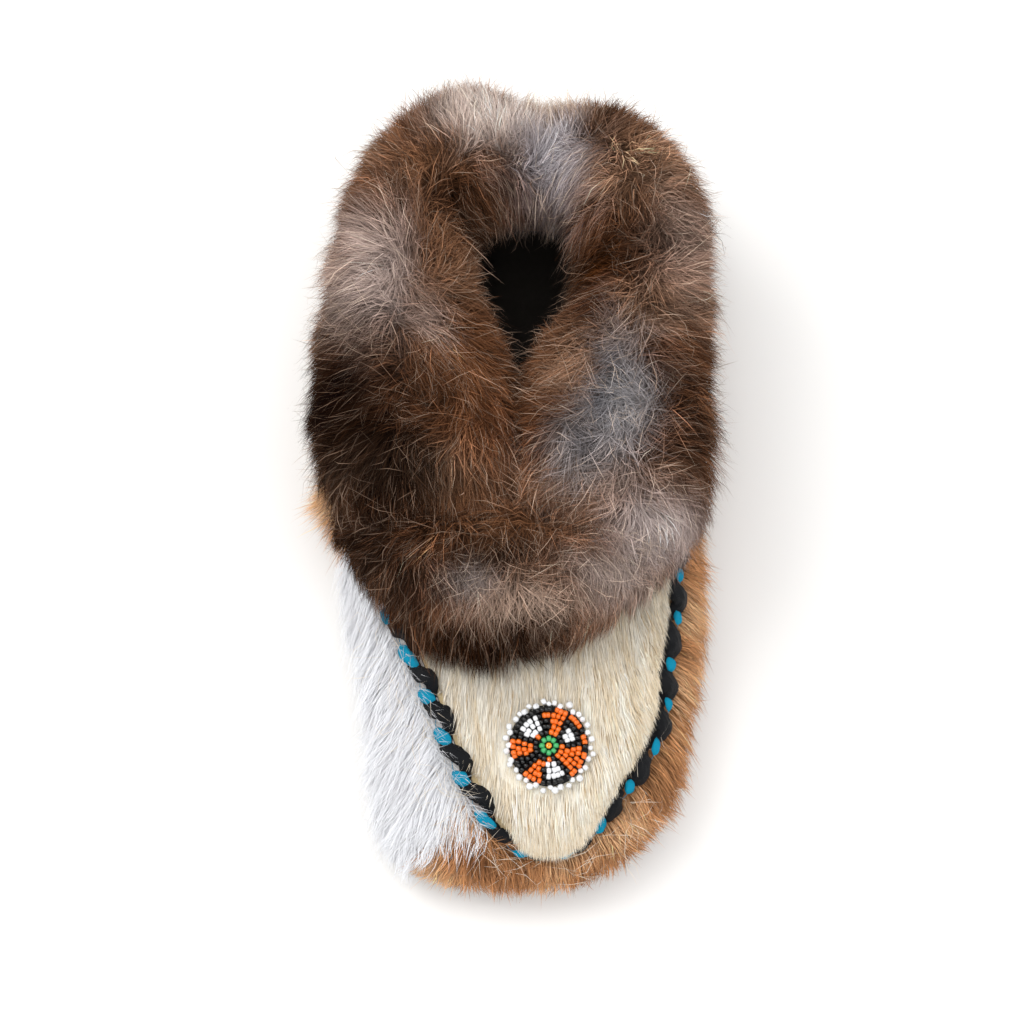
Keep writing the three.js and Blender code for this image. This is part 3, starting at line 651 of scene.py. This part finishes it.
def buildSideHide():
    # hair-on cow hide, tanned: matt skin under the hair, white where the hair is white
    made = newMaterial("cowHideTanned", 0.85)
    _, tanned = mottle(made, 180.0, 5.0, rgba("#6d4526"), rgba("#96663d"))
    patch = addNode(made[1], "ShaderNodeAttribute", attribute_name="whitePatch")
    mixColours(made, patch.outputs["Fac"], tanned, rgba("#e6e3e0"))
    wall = refined("upper", "hideSideWall", made[0])
    mark = wall.data.attributes.new("whitePatch", "FLOAT", "POINT")
    mark.data.foreach_set("value", whiteShare(vertices(wall.data)).astype(np.float32))
    rng = np.random.default_rng(sideHide["seed"])
    p, n = scatter("upper", sideHide["tries"], sideHide["seed"])
    spineY = np.clip(p[:, 1], toe["centreY"], heel["centreY"])
    spine = np.stack([along(sections, "spine", p[:, 1]), spineY, np.full(len(p), 14.0)], 1)
    outside = np.sum(n * unit(p - spine), 1) > 0.35
    hidden = (p[:, 1] > -10) & (p[:, 2] > 62)
    keep = outside & ~hidden & ~insideVamp(p, -1.0) & (p[:, 2] > 5.5)
    p, n = p[keep], n[keep]
    gap, share = seamGap(p)
    clear = (gap < -2.4) | (share > sideHide["clearTo"])  # on the inner side none starts under the ribbon
    p, n = p[clear][: sideHide["hairs"]], n[clear][: sideHide["hairs"]]
    count = len(p)
    white = whiteShare(p) > rng.uniform(0.08, 0.92, count)
    isWhite = white[:, None]
    drift = ripple(p, size=30, seed=72)
    outward = np.clip((p[:, 0] - 5) / 25, -1, 1)
    flow = np.stack([0.35 * outward, -0.5 - 0.25 * drift, np.full(count, -1.0)], 1)
    flow = np.where(isWhite, np.stack([0.25 * outward, -1.05 - 0.4 * drift, np.full(count, -0.75)], 1), flow)
    swerve = 0.5 * ripple(p, size=16, seed=73) + 0.3 * ripple(p, size=37, seed=78)
    flow += swerve[:, None] * np.stack([-n[:, 1], n[:, 0], 0 * drift], 1)
    tuft = np.exp(-((p[:, 1] + 3) / 11) ** 2) * (p[:, 0] < -30) * ~white  # one stands out behind the white
    flow[:, 0] -= 1.7 * tuft
    flow = alongSkin(flow, n, (1 - 0.7 * tuft)[:, None])
    flow += rng.normal(0, 0.14, (count, 3)) * np.where(isWhite, 0.5, 1.0)
    long = sideHide["length"] * np.exp(rng.normal(0, 0.2, count)) * np.clip(p[:, 2] / 16, 0.45, 1)
    long *= np.where(p[:, 1] < -118, 0.66, 1.0) * np.where(white, 1.2, 1.0) * (1 + 0.3 * tuft)
    lift = rng.uniform(0.05, 1, count) * np.where(white, 8.0, 4.6 + 2.0 * (p[:, 0] > 30))
    middle = p + flow * (long * 0.5)[:, None] + n * (lift * 0.75 + 0.8)[:, None]
    tip = p + flow * long[:, None] + n * lift[:, None]
    cellX = np.floor(p[:, 0] / 4.5 + ripple(p, size=9, seed=74))
    cellY = np.floor(p[:, 1] / 4.5 + ripple(p, size=9, seed=75))
    _, lock = np.unique(cellX * 10000 + cellY * 50 + np.floor(p[:, 2] / 5), return_inverse=True)
    tip = drawTogether(tip, lock, np.where(white, 0.2, 0.62) * rng.uniform(0.3, 1, count))
    bend = rng.normal(0, 1, lock.max() + 1)[lock] + 1.3 * ripple(p, size=14, seed=79)
    bend *= np.where(white, 1.7, 0.6)
    middle += np.cross(n, flow) * bend[:, None]  # locks curve to one side or the other
    tip[:, 0] = np.maximum(tip[:, 0], -80 + 4 * rng.uniform(0, 1, count))
    tip[:, 2] = np.maximum(tip[:, 2], 1.5)
    middle[:, 2] = np.maximum(middle[:, 2], 2.0)
    shade = np.exp(rng.normal(0, 0.32, count))[:, None]
    besideWhite = np.exp(-fromSpot(p, -9, -129, 13, 9))[:, None]  # the brown is darkest there
    tone = np.clip(ripple(p, size=26, seed=76)[:, None] - 1.8 * besideWhite, -1.7, 1)
    brown, light, dark = (toLinear(sideHide[key]) for key in ("brown", "light", "dark"))
    brown = np.where(tone > 0, blend(brown, light, tone * 0.8), blend(brown, dark, -tone * 0.7))
    pale, paintedShadeWhite = toLinear(sideHide["white"]), toLinear(sideHide["whiteShade"])
    # grey patches in the white hair: painted shade
    pale = blend(pale, paintedShadeWhite, np.clip(ripple(p, size=11, seed=77) - 0.3, 0, 1)[:, None])
    body = np.where(isWhite, pale * shade ** 0.1, brown * shade)
    # roots darker, the brown at half: painted shade deep in the hair
    root = np.where(isWhite, body * 0.97, body * 0.5)
    end = np.where(isWhite, body * 1.02, body * 1.15)
    colours = np.clip(np.stack([root, body, end], 1), 0.002, 0.95)
    widths = rng.uniform(0.22, 0.38, count)
    face = jitterFace(rng, n, np.where(isWhite, 0.18, 0.4))
    addHair("hairSideWall", "side_hide", p - n * 0.3, middle, tip, widths, face, colours)
    layTrimWisps(rng, pale[:1], brown[:1])


def layTrimWisps(rng, pale, brown):  # hairs of the side wall that lie over the trim
    count = sideHide["wisps"]
    loose = np.arange(count) < sideHide["loose"]  # longer curled hairs that stray over the trim and the toe
    run = rng.uniform(seamLong * 0.2, seamLong * np.where(loose, 0.68, 0.5), count)
    across = seamAcross(run)
    at = seamAt(run) + across * rng.uniform(3.5, np.where(loose, 13.0, 8.0), count)[:, None]
    n = topNormal(at)
    flow = np.c_[-across * rng.uniform(0.1, 1.0, (count, 1)), np.zeros(count)] + np.array([0.0, -0.8, 0.0])
    flow += rng.normal(0, 1, (count, 3)) * np.where(loose, 1.0, 0.3)[:, None]
    flow = alongSkin(flow, n)
    long = (rng.uniform(5.0, 10.0, count) * np.where(loose, 1.8, 1.0))[:, None]
    root = onTop(at, 0.2)
    end = root + flow * long
    end[:, 2] = np.maximum(end[:, 2], topHeight(end))
    end += n * rng.uniform(6.3, 8.5, (count, 1))
    end[:, 1] = np.maximum(end[:, 1], -146 + 3 * rng.uniform(0, 1, count))
    middle = (root + end) / 2 + n * rng.uniform(2.0, 4.0, (count, 1))
    middle += np.cross(n, flow) * (rng.normal(0, 4.5, count) * loose)[:, None]
    middle[:, 1] = np.maximum(middle[:, 1], -148)
    body = np.where((whiteShare(root) > 0.5)[:, None], pale * rng.uniform(0.85, 1, (count, 1)), brown)
    body = np.where(loose[:, None], toLinear(sideHide["stray"]), body)
    colours = np.clip(np.stack([body, body, body], 1), 0.002, 0.95)
    widths = rng.uniform(0.14, 0.24, count)
    face = jitterFace(rng, n, 0.5)
    addHair("hairTrimWisps", "side_hide", root, middle, end, widths, face, colours)


vampHide = {
    "hairs": 38000, "tries": 140000, "fringe": 6500, "length": 10.0, "seed": 310, "clear": 0.8,
    "underCuffY": -34, "cream": "#f4eee1", "tan": "#e1cfb0", "shade": "#b79a70",
}


def vampTone(share):
    return blend(toLinear(vampHide["cream"]), toLinear(vampHide["tan"]), share)


def buildVamp():
    # hair-on calf hide: sleek cream hair combed to the toe over a tan skin
    made = newMaterial("calfHideTanned", 0.8)
    mottle(made, 220.0, 5.0, rgba("#cdb385"), rgba("#e6d2a6"))
    refined("vamp", "hideVamp", made[0])
    rng = np.random.default_rng(vampHide["seed"])
    p, n = scatter("vamp", vampHide["tries"], vampHide["seed"])
    onOutside = (n[:, 2] > 0.2) & (p[:, 2] > topHeight(p) - 1.2)
    p = p[onOutside & (p[:, 1] < vampHide["underCuffY"])][: vampHide["hairs"]]
    fromSeam, share = seamGap(p)
    clear = fromSeam + trimReach(share) > vampHide["clear"]  # under the trim it would stand up through it
    p, fromSeam = p[clear], fromSeam[clear]
    n = topNormal(p)
    count = len(p)
    fan = np.maximum(p[:, 0] - 18, 0) * 0.011 + (p[:, 0] - 12) * 0.002 + 0.10 * ripple(p, size=20, seed=81)
    flow = np.stack([fan, np.full(count, -1.0), np.zeros(count)], 1) + rng.normal(0, 0.07, (count, 3))
    flow = alongSkin(flow, n)
    long = vampHide["length"] * np.exp(rng.normal(0, 0.18, count))
    lift = rng.uniform(0.0, 1, count) ** 1.5 * 2.0 + 0.3
    under = np.hypot(p[:, 0] - rosette["x"], p[:, 1] - rosette["y"] - 3) < 19  # pressed flat by the rosette
    lift = np.where(under, 0.35, lift)
    end = p + flow * long[:, None]
    gap, share = seamGap(end)
    over = (gap < 8) & (share > innerEnd)
    lift = np.where(over, rng.uniform(5.2, 7.2, count) * np.clip(1.6 - gap / 6.5, 0.25, 1), lift)
    reach = trimReach(share) + rng.normal(0, 0.5, count) + 0.7 * ripple(end, size=7, seed=83)
    room = np.clip((fromSeam + reach) / np.maximum(fromSeam - gap, 0.5), 0.08, 1)
    end = np.where((gap < -reach)[:, None], p + flow * (long * room)[:, None], end)
    long = np.where(gap < -reach, long * room, long)
    end[:, 2] = np.maximum(topHeight(end), end[:, 2] - 4)
    end += n * lift[:, None]
    middle = p + flow * (long * 0.5)[:, None] + n * (lift * 0.9 + np.where(under, 0.2, 0.6))[:, None]
    streak = np.clip(ripple(p * np.array([1.0, 0.12, 0.0]), size=6.5, seed=82) * 0.5 + 0.5, 0, 1)
    streak = np.clip(streak * 0.7 + rng.normal(0.05, 0.25, count), 0, 1)[:, None]
    body = np.where(rng.uniform(0, 1, (count, 1)) < 0.03, toLinear(vampHide["shade"]), vampTone(streak))
    cuffEdge = np.interp(p[:, 0], apronEdge["x"], apronEdge["y"])
    cuffShadow = np.clip(1 - (cuffEdge - p[:, 1]) / 16, 0, 1)[:, None]  # darker close under the cuff: painted shadow of the cuff
    shade = np.exp(rng.normal(0, 0.1, count))[:, None] * (1 - 0.2 * cuffShadow)
    # roots a little darker: painted shade deep in the hair
    colours = np.clip(np.stack([body * 0.82 * shade, body * shade, body * 1.04 * shade], 1), 0.002, 0.92)
    widths = rng.uniform(0.26, 0.44, count)
    face = jitterFace(rng, n, 0.3)
    addHair("hairVamp", "vamp_hide", p - n * 0.3, middle, end, widths, face, colours)
    layVampFringe(rng)


def layVampFringe(rng):  # hairs near the vamp's edge, which rise over the trim
    run = rng.uniform(seamLong * 0.17, seamLong * 0.87, vampHide["fringe"])
    chance = np.interp(run / seamLong, [0.17, 0.42, 0.5, 0.87], [0.0, 0.05, 1, 0.8])
    run = run[rng.uniform(0, 1, len(run)) < chance]
    across = seamAcross(run)
    at = seamAt(run) - across * rng.uniform(2.0, 8.5, len(run))[:, None]
    fromSeam, share = seamGap(at)
    clear = fromSeam + trimReach(share) > vampHide["clear"]
    run, at, across, fromSeam = run[clear], at[clear], across[clear], fromSeam[clear]
    count = len(run)
    n = topNormal(at)
    flow = np.c_[across * 0.3, np.zeros(count)] + np.array([0.0, -1.0, 0.0]) + rng.normal(0, 0.12, (count, 3))
    flow = alongSkin(flow, n)
    long = rng.uniform(7.0, 12.0, count)
    near = np.clip(1 - np.abs(np.sum((at - seamAt(run)) * across, 1)) / 9, 0, 1)
    gap, share = seamGap(at + flow[:, :2] * long[:, None])
    reach = fromSeam + trimReach(share) + rng.normal(0.3, 0.7, count)
    long = (long * np.clip(reach / np.maximum(fromSeam - gap, 0.5), 0.1, 1))[:, None]
    high = rng.uniform(5.4, 7.4, count) * (0.75 + 0.25 * near)
    high *= np.interp(share, [innerEnd, 0.5, 0.58, 0.64], [1, 1.2, 1.2, 1])
    root = onTop(at, 0.2)
    end = root + flow * long
    end[:, 2] = np.maximum(end[:, 2], topHeight(end))
    end += n * high[:, None]
    middle = root + flow * long * 0.45 + n * (high * 0.95)[:, None]
    body = vampTone(rng.uniform(0, 1, (count, 1)))
    # roots a little darker: painted shade deep in the hair
    colours = np.clip(np.stack([body * 0.85, body, body * 1.04], 1), 0.002, 0.92)
    widths = rng.uniform(0.24, 0.4, count)
    face = jitterFace(rng, n, 0.3)
    addHair("hairVampFringe", "vamp_hide", root, middle, end, widths, face, colours)


# braid along the seam

braid = {
    "pitch": 15, "lift": 3.4, "fromY": -36, "toY": -32, "steps": 480, "around": 14, "knots": 20, "seed": 77,
    "toeAt": 0.52, "toeSpan": 0.08,
}
braidStrands = [  # black puffs bulge inwards on the inner side, outwards on the outer; blue peeps out
    {"node": "braid_black", "name": "braidBlack", "slot": "black_ribbon", "phase": 0.0, "oval": False,
     "across": 1.7, "upDown": 1.2, "wide": 2.9, "thick": 1.6, "pinch": 0.7, "bulge": 1.0,
     "shiftLeft": 0.6, "shiftRight": -1.4, "lens": 0.9, "short": 0.0, "thinRight": 1.18,
     "material": "satinRibbonBlack", "roughness": 0.55, "gloss": 0.25, "slub": 900.0,
     "low": "#020304", "high": "#14161c"},
    {"node": "braid_blue", "name": "braidBlue", "slot": "blue_ribbon", "phase": halfTurn, "oval": True,
     "across": 1.1, "upDown": 1.2, "wide": 2.3, "thick": 1.1, "pinch": 0.05, "bulge": 0.0,
     "shiftLeft": 2.5, "shiftRight": 0.2, "lens": 1.5, "short": -0.55, "thinRight": 0.78,
     "material": "woolFeltTurquoise", "roughness": 0.9, "gloss": 0.15, "slub": 1400.0,
     "low": "#0a84a8", "high": "#19b0d8"},
]


def braidEnds():
    leftRun = seamRun[np.argmax(seamFine[:, 1] < braid["fromY"])]
    return leftRun, seamRun[len(seamRun) - 1 - np.argmax(seamFine[::-1, 1] < braid["toY"])]


def twist(run):  # the black ribbon's turn in radians at a length along the seam, and how uneven it is there
    knots = np.linspace(*braidEnds(), braid["knots"])
    uneven = np.interp(run, knots, np.random.default_rng(braid["seed"]).normal(0, 1, braid["knots"]))
    return fullTurn * (run + 0.8 * uneven) / braid["pitch"], uneven


def buildBraid():
    leftRun, rightRun = braidEnds()
    steps, around = braid["steps"], braid["around"]
    run = np.linspace(leftRun, rightRun, steps)
    at = seamAt(run)
    outer = topNormal(at)
    ahead = seamAt(run + 0.5) - seamAt(run - 0.5)
    across = unit(np.cross(np.c_[ahead, np.zeros(steps)], outer))
    turned, uneven = twist(run)
    rightward = np.clip((run - leftRun) / (rightRun - leftRun) * 3 - 1, 0, 1)
    atToe = np.exp(-((run / seamLong - braid["toeAt"]) / braid["toeSpan"]) ** 2)  # lower and thinner there
    turn = np.arange(around)[None] * fullTurn / around
    length = run[:, None]
    crimp = 1 + 0.11 * np.sin(5 * turn + 0.9 * length) + 0.08 * np.sin(3 * turn - 1.4 * length)
    crimp += 0.04 * np.sin(7 * turn - 2.6 * length)
    for strand in braidStrands:
        angle = strand["phase"] + turned
        shift = blend(strand["shiftLeft"], strand["shiftRight"], rightward)
        shift = shift + strand["bulge"] * np.sin(angle) * (1.7 * rightward - 0.7)
        middle = onTop(at, braid["lift"] - 0.6 * rightward - 0.9 * atToe)
        middle += across * (strand["across"] * np.cos(angle) + shift)[:, None]
        middle += outer * (strand["upDown"] * np.sin(angle))[:, None]
        forward = unit(np.gradient(middle, axis=0))
        side = unit(np.cross(forward, outer))
        rise = np.cross(side, forward)
        swell = strand["lens"] + strand["short"] * rightward
        off = (angle - quarterTurn + halfTurn) % fullTurn - halfTurn  # turn away from the puff's middle
        hump = (0.5 + 0.5 * np.sin(angle)) ** swell
        if strand["oval"]:
            hump = np.sqrt(np.clip(1 - (off / swell) ** 2, 0, 1))
        puff = strand["pinch"] + (1 - strand["pinch"]) * hump * (1 + 0.14 * uneven)
        puff *= 1 + (strand["thinRight"] - 1) * rightward
        puff *= 1 - 0.28 * atToe
        plumped = puff[:, None] * crimp
        ring = middle[:, None] + side[:, None] * (strand["wide"] * np.cos(turn) * plumped)[..., None]
        ring += rise[:, None] * (strand["thick"] * np.sin(turn) * plumped)[..., None]
        quads, index = tubeFaces(steps, around)
        faces = quads.tolist() + [index[0].tolist()[::-1], index[-1].tolist()]
        mesh = smoothMesh(strand["name"], ring.reshape(-1, 3), faces)
        # satin ribbon: fine ribs of the weave and a soft sheen; felt: dull, fuzzy, evenly dyed
        made = newMaterial(strand["material"], strand["roughness"], Specular_IOR_Level=strand["gloss"])
        slubs, _ = mottle(made, strand["slub"], 6.0, rgba(strand["low"]), rgba(strand["high"]))  # about 1 mm
        addBump(made, slubs, 0.7, 0.0008)
        piece = newObject(strand["name"], mesh, made[0])
        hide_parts(strand["node"])
    print("braid laid")


# rosette of seed beads

rosette = {
    "x": 12.5, "y": -98, "bead": 1.95, "rings": [2.3, 4.5, 6.4, 8.3, 10.2, 12.1], "edge": 13.9, "lift": 2.6,
    "innerBeads": 8, "edgeBeads": 40, "seed": 411,
}
beadColours = {
    "orange": "#f2701a", "black": "#040405", "white": "#f1f4f8", "green": "#45b06a", "yellow": "#f59a1f",
}
# wedges of the wheel, clockwise from the heel: where each begins and ends in degrees, colour, and the
# first and last ring that it fills; black fills the rest
wheelWedges = [
    (4, 32, "orange", 1, 5), (-17, 4, "orange", 4, 4), (46, 84, "white", 2, 3), (38, 60, "orange", 5, 5),
    (68, 90, "orange", 5, 5), (94, 140, "orange", 1, 5), (150, 187, "white", 2, 4),
    (168, 190, "orange", 1, 1), (195, 222, "orange", 2, 5), (250, 283, "orange", 2, 5),
    (294, 337, "white", 2, 4), (298, 328, "orange", 1, 1),
]
backingLevels = [  # radius, and height above the hide
    (0.1, 2.0), (7, 2.0), (12.8, 2.0), (13.5, 1.7), (13.5, 0.5), (7, 0.5), (0.1, 0.5),
]


def beadColour(ring, turn):
    if ring == 0:
        return "green"
    for start, stop, colour, first, last in wheelWedges:
        if (turn - start) % 360 < stop - start and first <= ring <= last:
            return colour
    return "black"


def buildRosette():
    names = list(beadColours)
    materials = []
    for name in names:
        # pressed glass seed bead: opaque colour, smooth and glossy with a bright small highlight
        made = newMaterial(f"seedGlass{name.title()}", 0.12, ior=1.52)
        low, high = ((*np.clip(toLinear(beadColours[name]) * share, 0, 1), 1) for share in (0.75, 1.15))
        mottle(made, 420.0, 2.0, low, high, ends=(0.35, 0.65))  # bead to bead, about 2 mm
        materials.append(made[0])
    rng = np.random.default_rng(rosette["seed"])
    around, section = 10, 7
    turns, rounds = np.arange(around) * fullTurn / around, np.arange(section) * fullTurn / section
    u, v = np.meshgrid(turns, rounds, indexing="ij")
    boxy = np.sign(np.cos(v)) * np.abs(np.cos(v)) ** 0.7
    reach = 0.52 + 0.5 * boxy  # a seed bead is a fat little ring, somewhat square in section
    shape = np.stack([reach * np.cos(u), reach * np.sin(u), 0.84 * np.sin(v)], -1).reshape(-1, 3)
    index = np.arange(around * section).reshape(around, section)
    onward = np.roll(index, -1, 0)
    quads = np.stack([index, onward, np.roll(onward, -1, 1), np.roll(index, -1, 1)], -1).reshape(-1, 4)
    points, faces, marks = [], [], []

    def addBead(radius, turn, colour, lift, scale, tilt):
        # beads are strung round the ring, so the hole runs along the thread
        angle = math.radians(turn)
        x, y = rosette["x"] + radius * math.sin(angle), rosette["y"] + radius * math.cos(angle)
        n = topNormal(np.array([[x, y]]))[0]
        centre = onTop(np.array([[x, y]]), lift)[0]
        thread = np.array([math.cos(angle), -math.sin(angle), 0.0]) if radius > 0.1 else n
        thread = unit(thread + tilt * rng.normal(0, 1, 3))
        a = unit(np.cross(thread, n if abs(np.dot(thread, n)) < 0.9 else np.array([1.0, 0, 0])))
        b = np.cross(thread, a)
        local = shape * scale
        faces.extend((quads + len(points) * len(shape)).tolist())
        points.append(centre + local[:, 0:1] * a + local[:, 1:2] * b + local[:, 2:3] * thread)
        marks.extend([names.index(colour)] * len(quads))

    size, lift = rosette["bead"] / 2, rosette["lift"]
    addBead(0.0, 0, "yellow", lift + 0.4, size * 1.1, 0.0)
    for ring, radius in enumerate(rosette["rings"]):
        count = int(round(fullTurn * radius / (rosette["bead"] * 0.86))) if ring else rosette["innerBeads"]
        for k in range(count):
            turn = 360 * (k + 0.5 * (ring % 2)) / count + rng.normal(0, 1.2)
            out, high = radius + rng.normal(0, 0.08), lift + rng.normal(0, 0.1)
            addBead(out, turn, beadColour(ring, turn % 360), high, size * rng.uniform(0.97, 1.1), 0.12)
    for k in range(rosette["edgeBeads"]):  # edging: every second bead stands out as a picot
        turn = 360 * k / rosette["edgeBeads"] + rng.normal(0, 1.5)
        out = rosette["edge"] + (0.9 if k % 2 else -0.1) + rng.normal(0, 0.25)
        addBead(out, turn, "white", lift - 0.5 + 0.3 * (k % 2), size * rng.uniform(0.95, 1.25), 0.5)
    mesh = smoothMesh("rosetteBeads", np.concatenate(points), faces)
    beads = newObject("rosetteBeads", mesh, materials)
    mesh.polygons.foreach_set("material_index", np.array(marks, np.int32))
    corners = 72
    turn = np.arange(corners) * fullTurn / corners
    rings = []
    for radius, height in backingLevels:
        x, y = rosette["x"] + radius * np.cos(turn), rosette["y"] + radius * np.sin(turn)
        rings.append(onTop(np.c_[x, y], height))
    quads, index = tubeFaces(len(rings), corners)
    capped = quads.tolist() + [index[0].tolist()[::-1], index[-1].tolist()]
    mesh = smoothMesh("rosetteBacking", np.concatenate(rings), capped)
    # wool felt backing: black, dull, only seen between beads and at the edge
    made = newMaterial("woolFeltBlack", 0.95)
    mottle(made, 1500.0, 4.0, rgba("#060606"), rgba("#1a1a1c"))
    newObject("rosetteBacking", mesh, made[0])
    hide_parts("rosette")
    print("rosette beads", len(points))


# sole and insole keep their solids and get their own finishes


def finishSoles():
    # veg-tanned leather, rough side out: sandy nap, darker worn spots
    suede = newMaterial("soleLeatherSuede", 0.88, Sheen_Weight=0.15, Sheen_Roughness=0.6)
    mottle(suede, 38.0, 6.0, rgba("#8a6642"), rgba("#bb9468"), ends=(0.3, 0.72), roughness=0.62)
    nap = addNode(suede[1], "ShaderNodeTexNoise", scale=1300.0, detail=5.0)  # about 0.8 mm
    addBump(suede, nap.outputs["Fac"], 0.5, 0.0005)
    # pressed wool felt: fibrous, charcoal, no gloss
    felt = newMaterial("insoleFeltPressed", 0.97)
    fibre, _ = mottle(felt, 700.0, 8.0, rgba("#14100d"), rgba("#2c2620"), roughness=0.7)
    addBump(felt, fibre, 0.6, 0.0006)
    for node, made in (("sole", suede), ("insole", felt)):
        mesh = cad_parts[node].data
        mesh.materials.clear()
        mesh.materials.append(made[0])
    print("soles finished")


# stage, light and camera

studio = {
    "elevation": 75.0, "distance": 1.2, "pixel": 0.3614, "aimY": -4.5, "floor": "#f7f6f4", "floorSize": 6,
    "sky": 0.75, "sensor": 36, "photoWidth": 1024, "lightAim": (0, 0, 0.04),
}
studioLights = [  # name, place, size and power
    ("softboxKey", (-0.75, 0.35, 1.15), 0.9, 9.0), ("softboxTop", (0.1, 0.05, 1.6), 1.4, 8.5),
    ("softboxFill", (0.9, -0.7, 0.9), 0.9, 3.0), ("spotSmall", (-0.1, -0.35, 1.3), 0.07, 0.7),
]


def standAt(name, data, spot, way):  # a lamp or the camera, looking that way
    holder = bpy.data.objects.new(name, data)
    holder.location = spot
    holder.rotation_euler = way.to_track_quat("-Z", "Y").to_euler()
    bpy.context.scene.collection.objects.link(holder)
    return holder


def buildStudio():
    mesh = bpy.data.meshes.new("studioFloor")
    far = studio["floorSize"]
    mesh.from_pydata([(-far, -far, 0), (far, -far, 0), (far, far, 0), (-far, far, 0)], [], [(0, 1, 2, 3)])
    # white paper sweep: matt and even, so it fades out behind the shoe
    material, _, shader = newMaterial("paperSweepWhite", 0.9)
    shader.inputs["Base Color"].default_value = rgba(studio["floor"])
    mesh.materials.append(material)
    floor = bpy.data.objects.new("studioFloor", mesh)
    bpy.context.scene.collection.objects.link(floor)
    for name, spot, size, power in studioLights:
        lamp = bpy.data.lights.new(name, "AREA")
        lamp.energy, lamp.size = power, size
        lamp.color = (1.0, 0.985, 0.965)
        standAt(name, lamp, spot, Vector(studio["lightAim"]) - Vector(spot))
    world = bpy.data.worlds.new("studioSky")
    world.use_nodes = True
    world.node_tree.nodes["Background"].inputs["Color"].default_value = (0.97, 0.98, 1.0, 1)
    world.node_tree.nodes["Background"].inputs["Strength"].default_value = studio["sky"]
    bpy.context.scene.world = world
    bpy.context.scene.view_settings.view_transform = "Standard"
    camera = bpy.data.cameras.new("photoCamera")
    camera.sensor_width = studio["sensor"]
    camera.lens = studio["sensor"] * studio["distance"] / (studio["photoWidth"] * studio["pixel"] * mm)
    rise = math.radians(studio["elevation"])
    aim = Vector((0, studio["aimY"] * mm, 0))
    back = Vector((0, -math.cos(rise), math.sin(rise)))
    bpy.context.scene.camera = standAt("photoCamera", camera, aim + back * studio["distance"], -back)
    print("studio set")


buildStudio()
finishSoles()
buildSideHide()
buildVamp()
buildBraid()
buildRosette()
buildFurCuff()
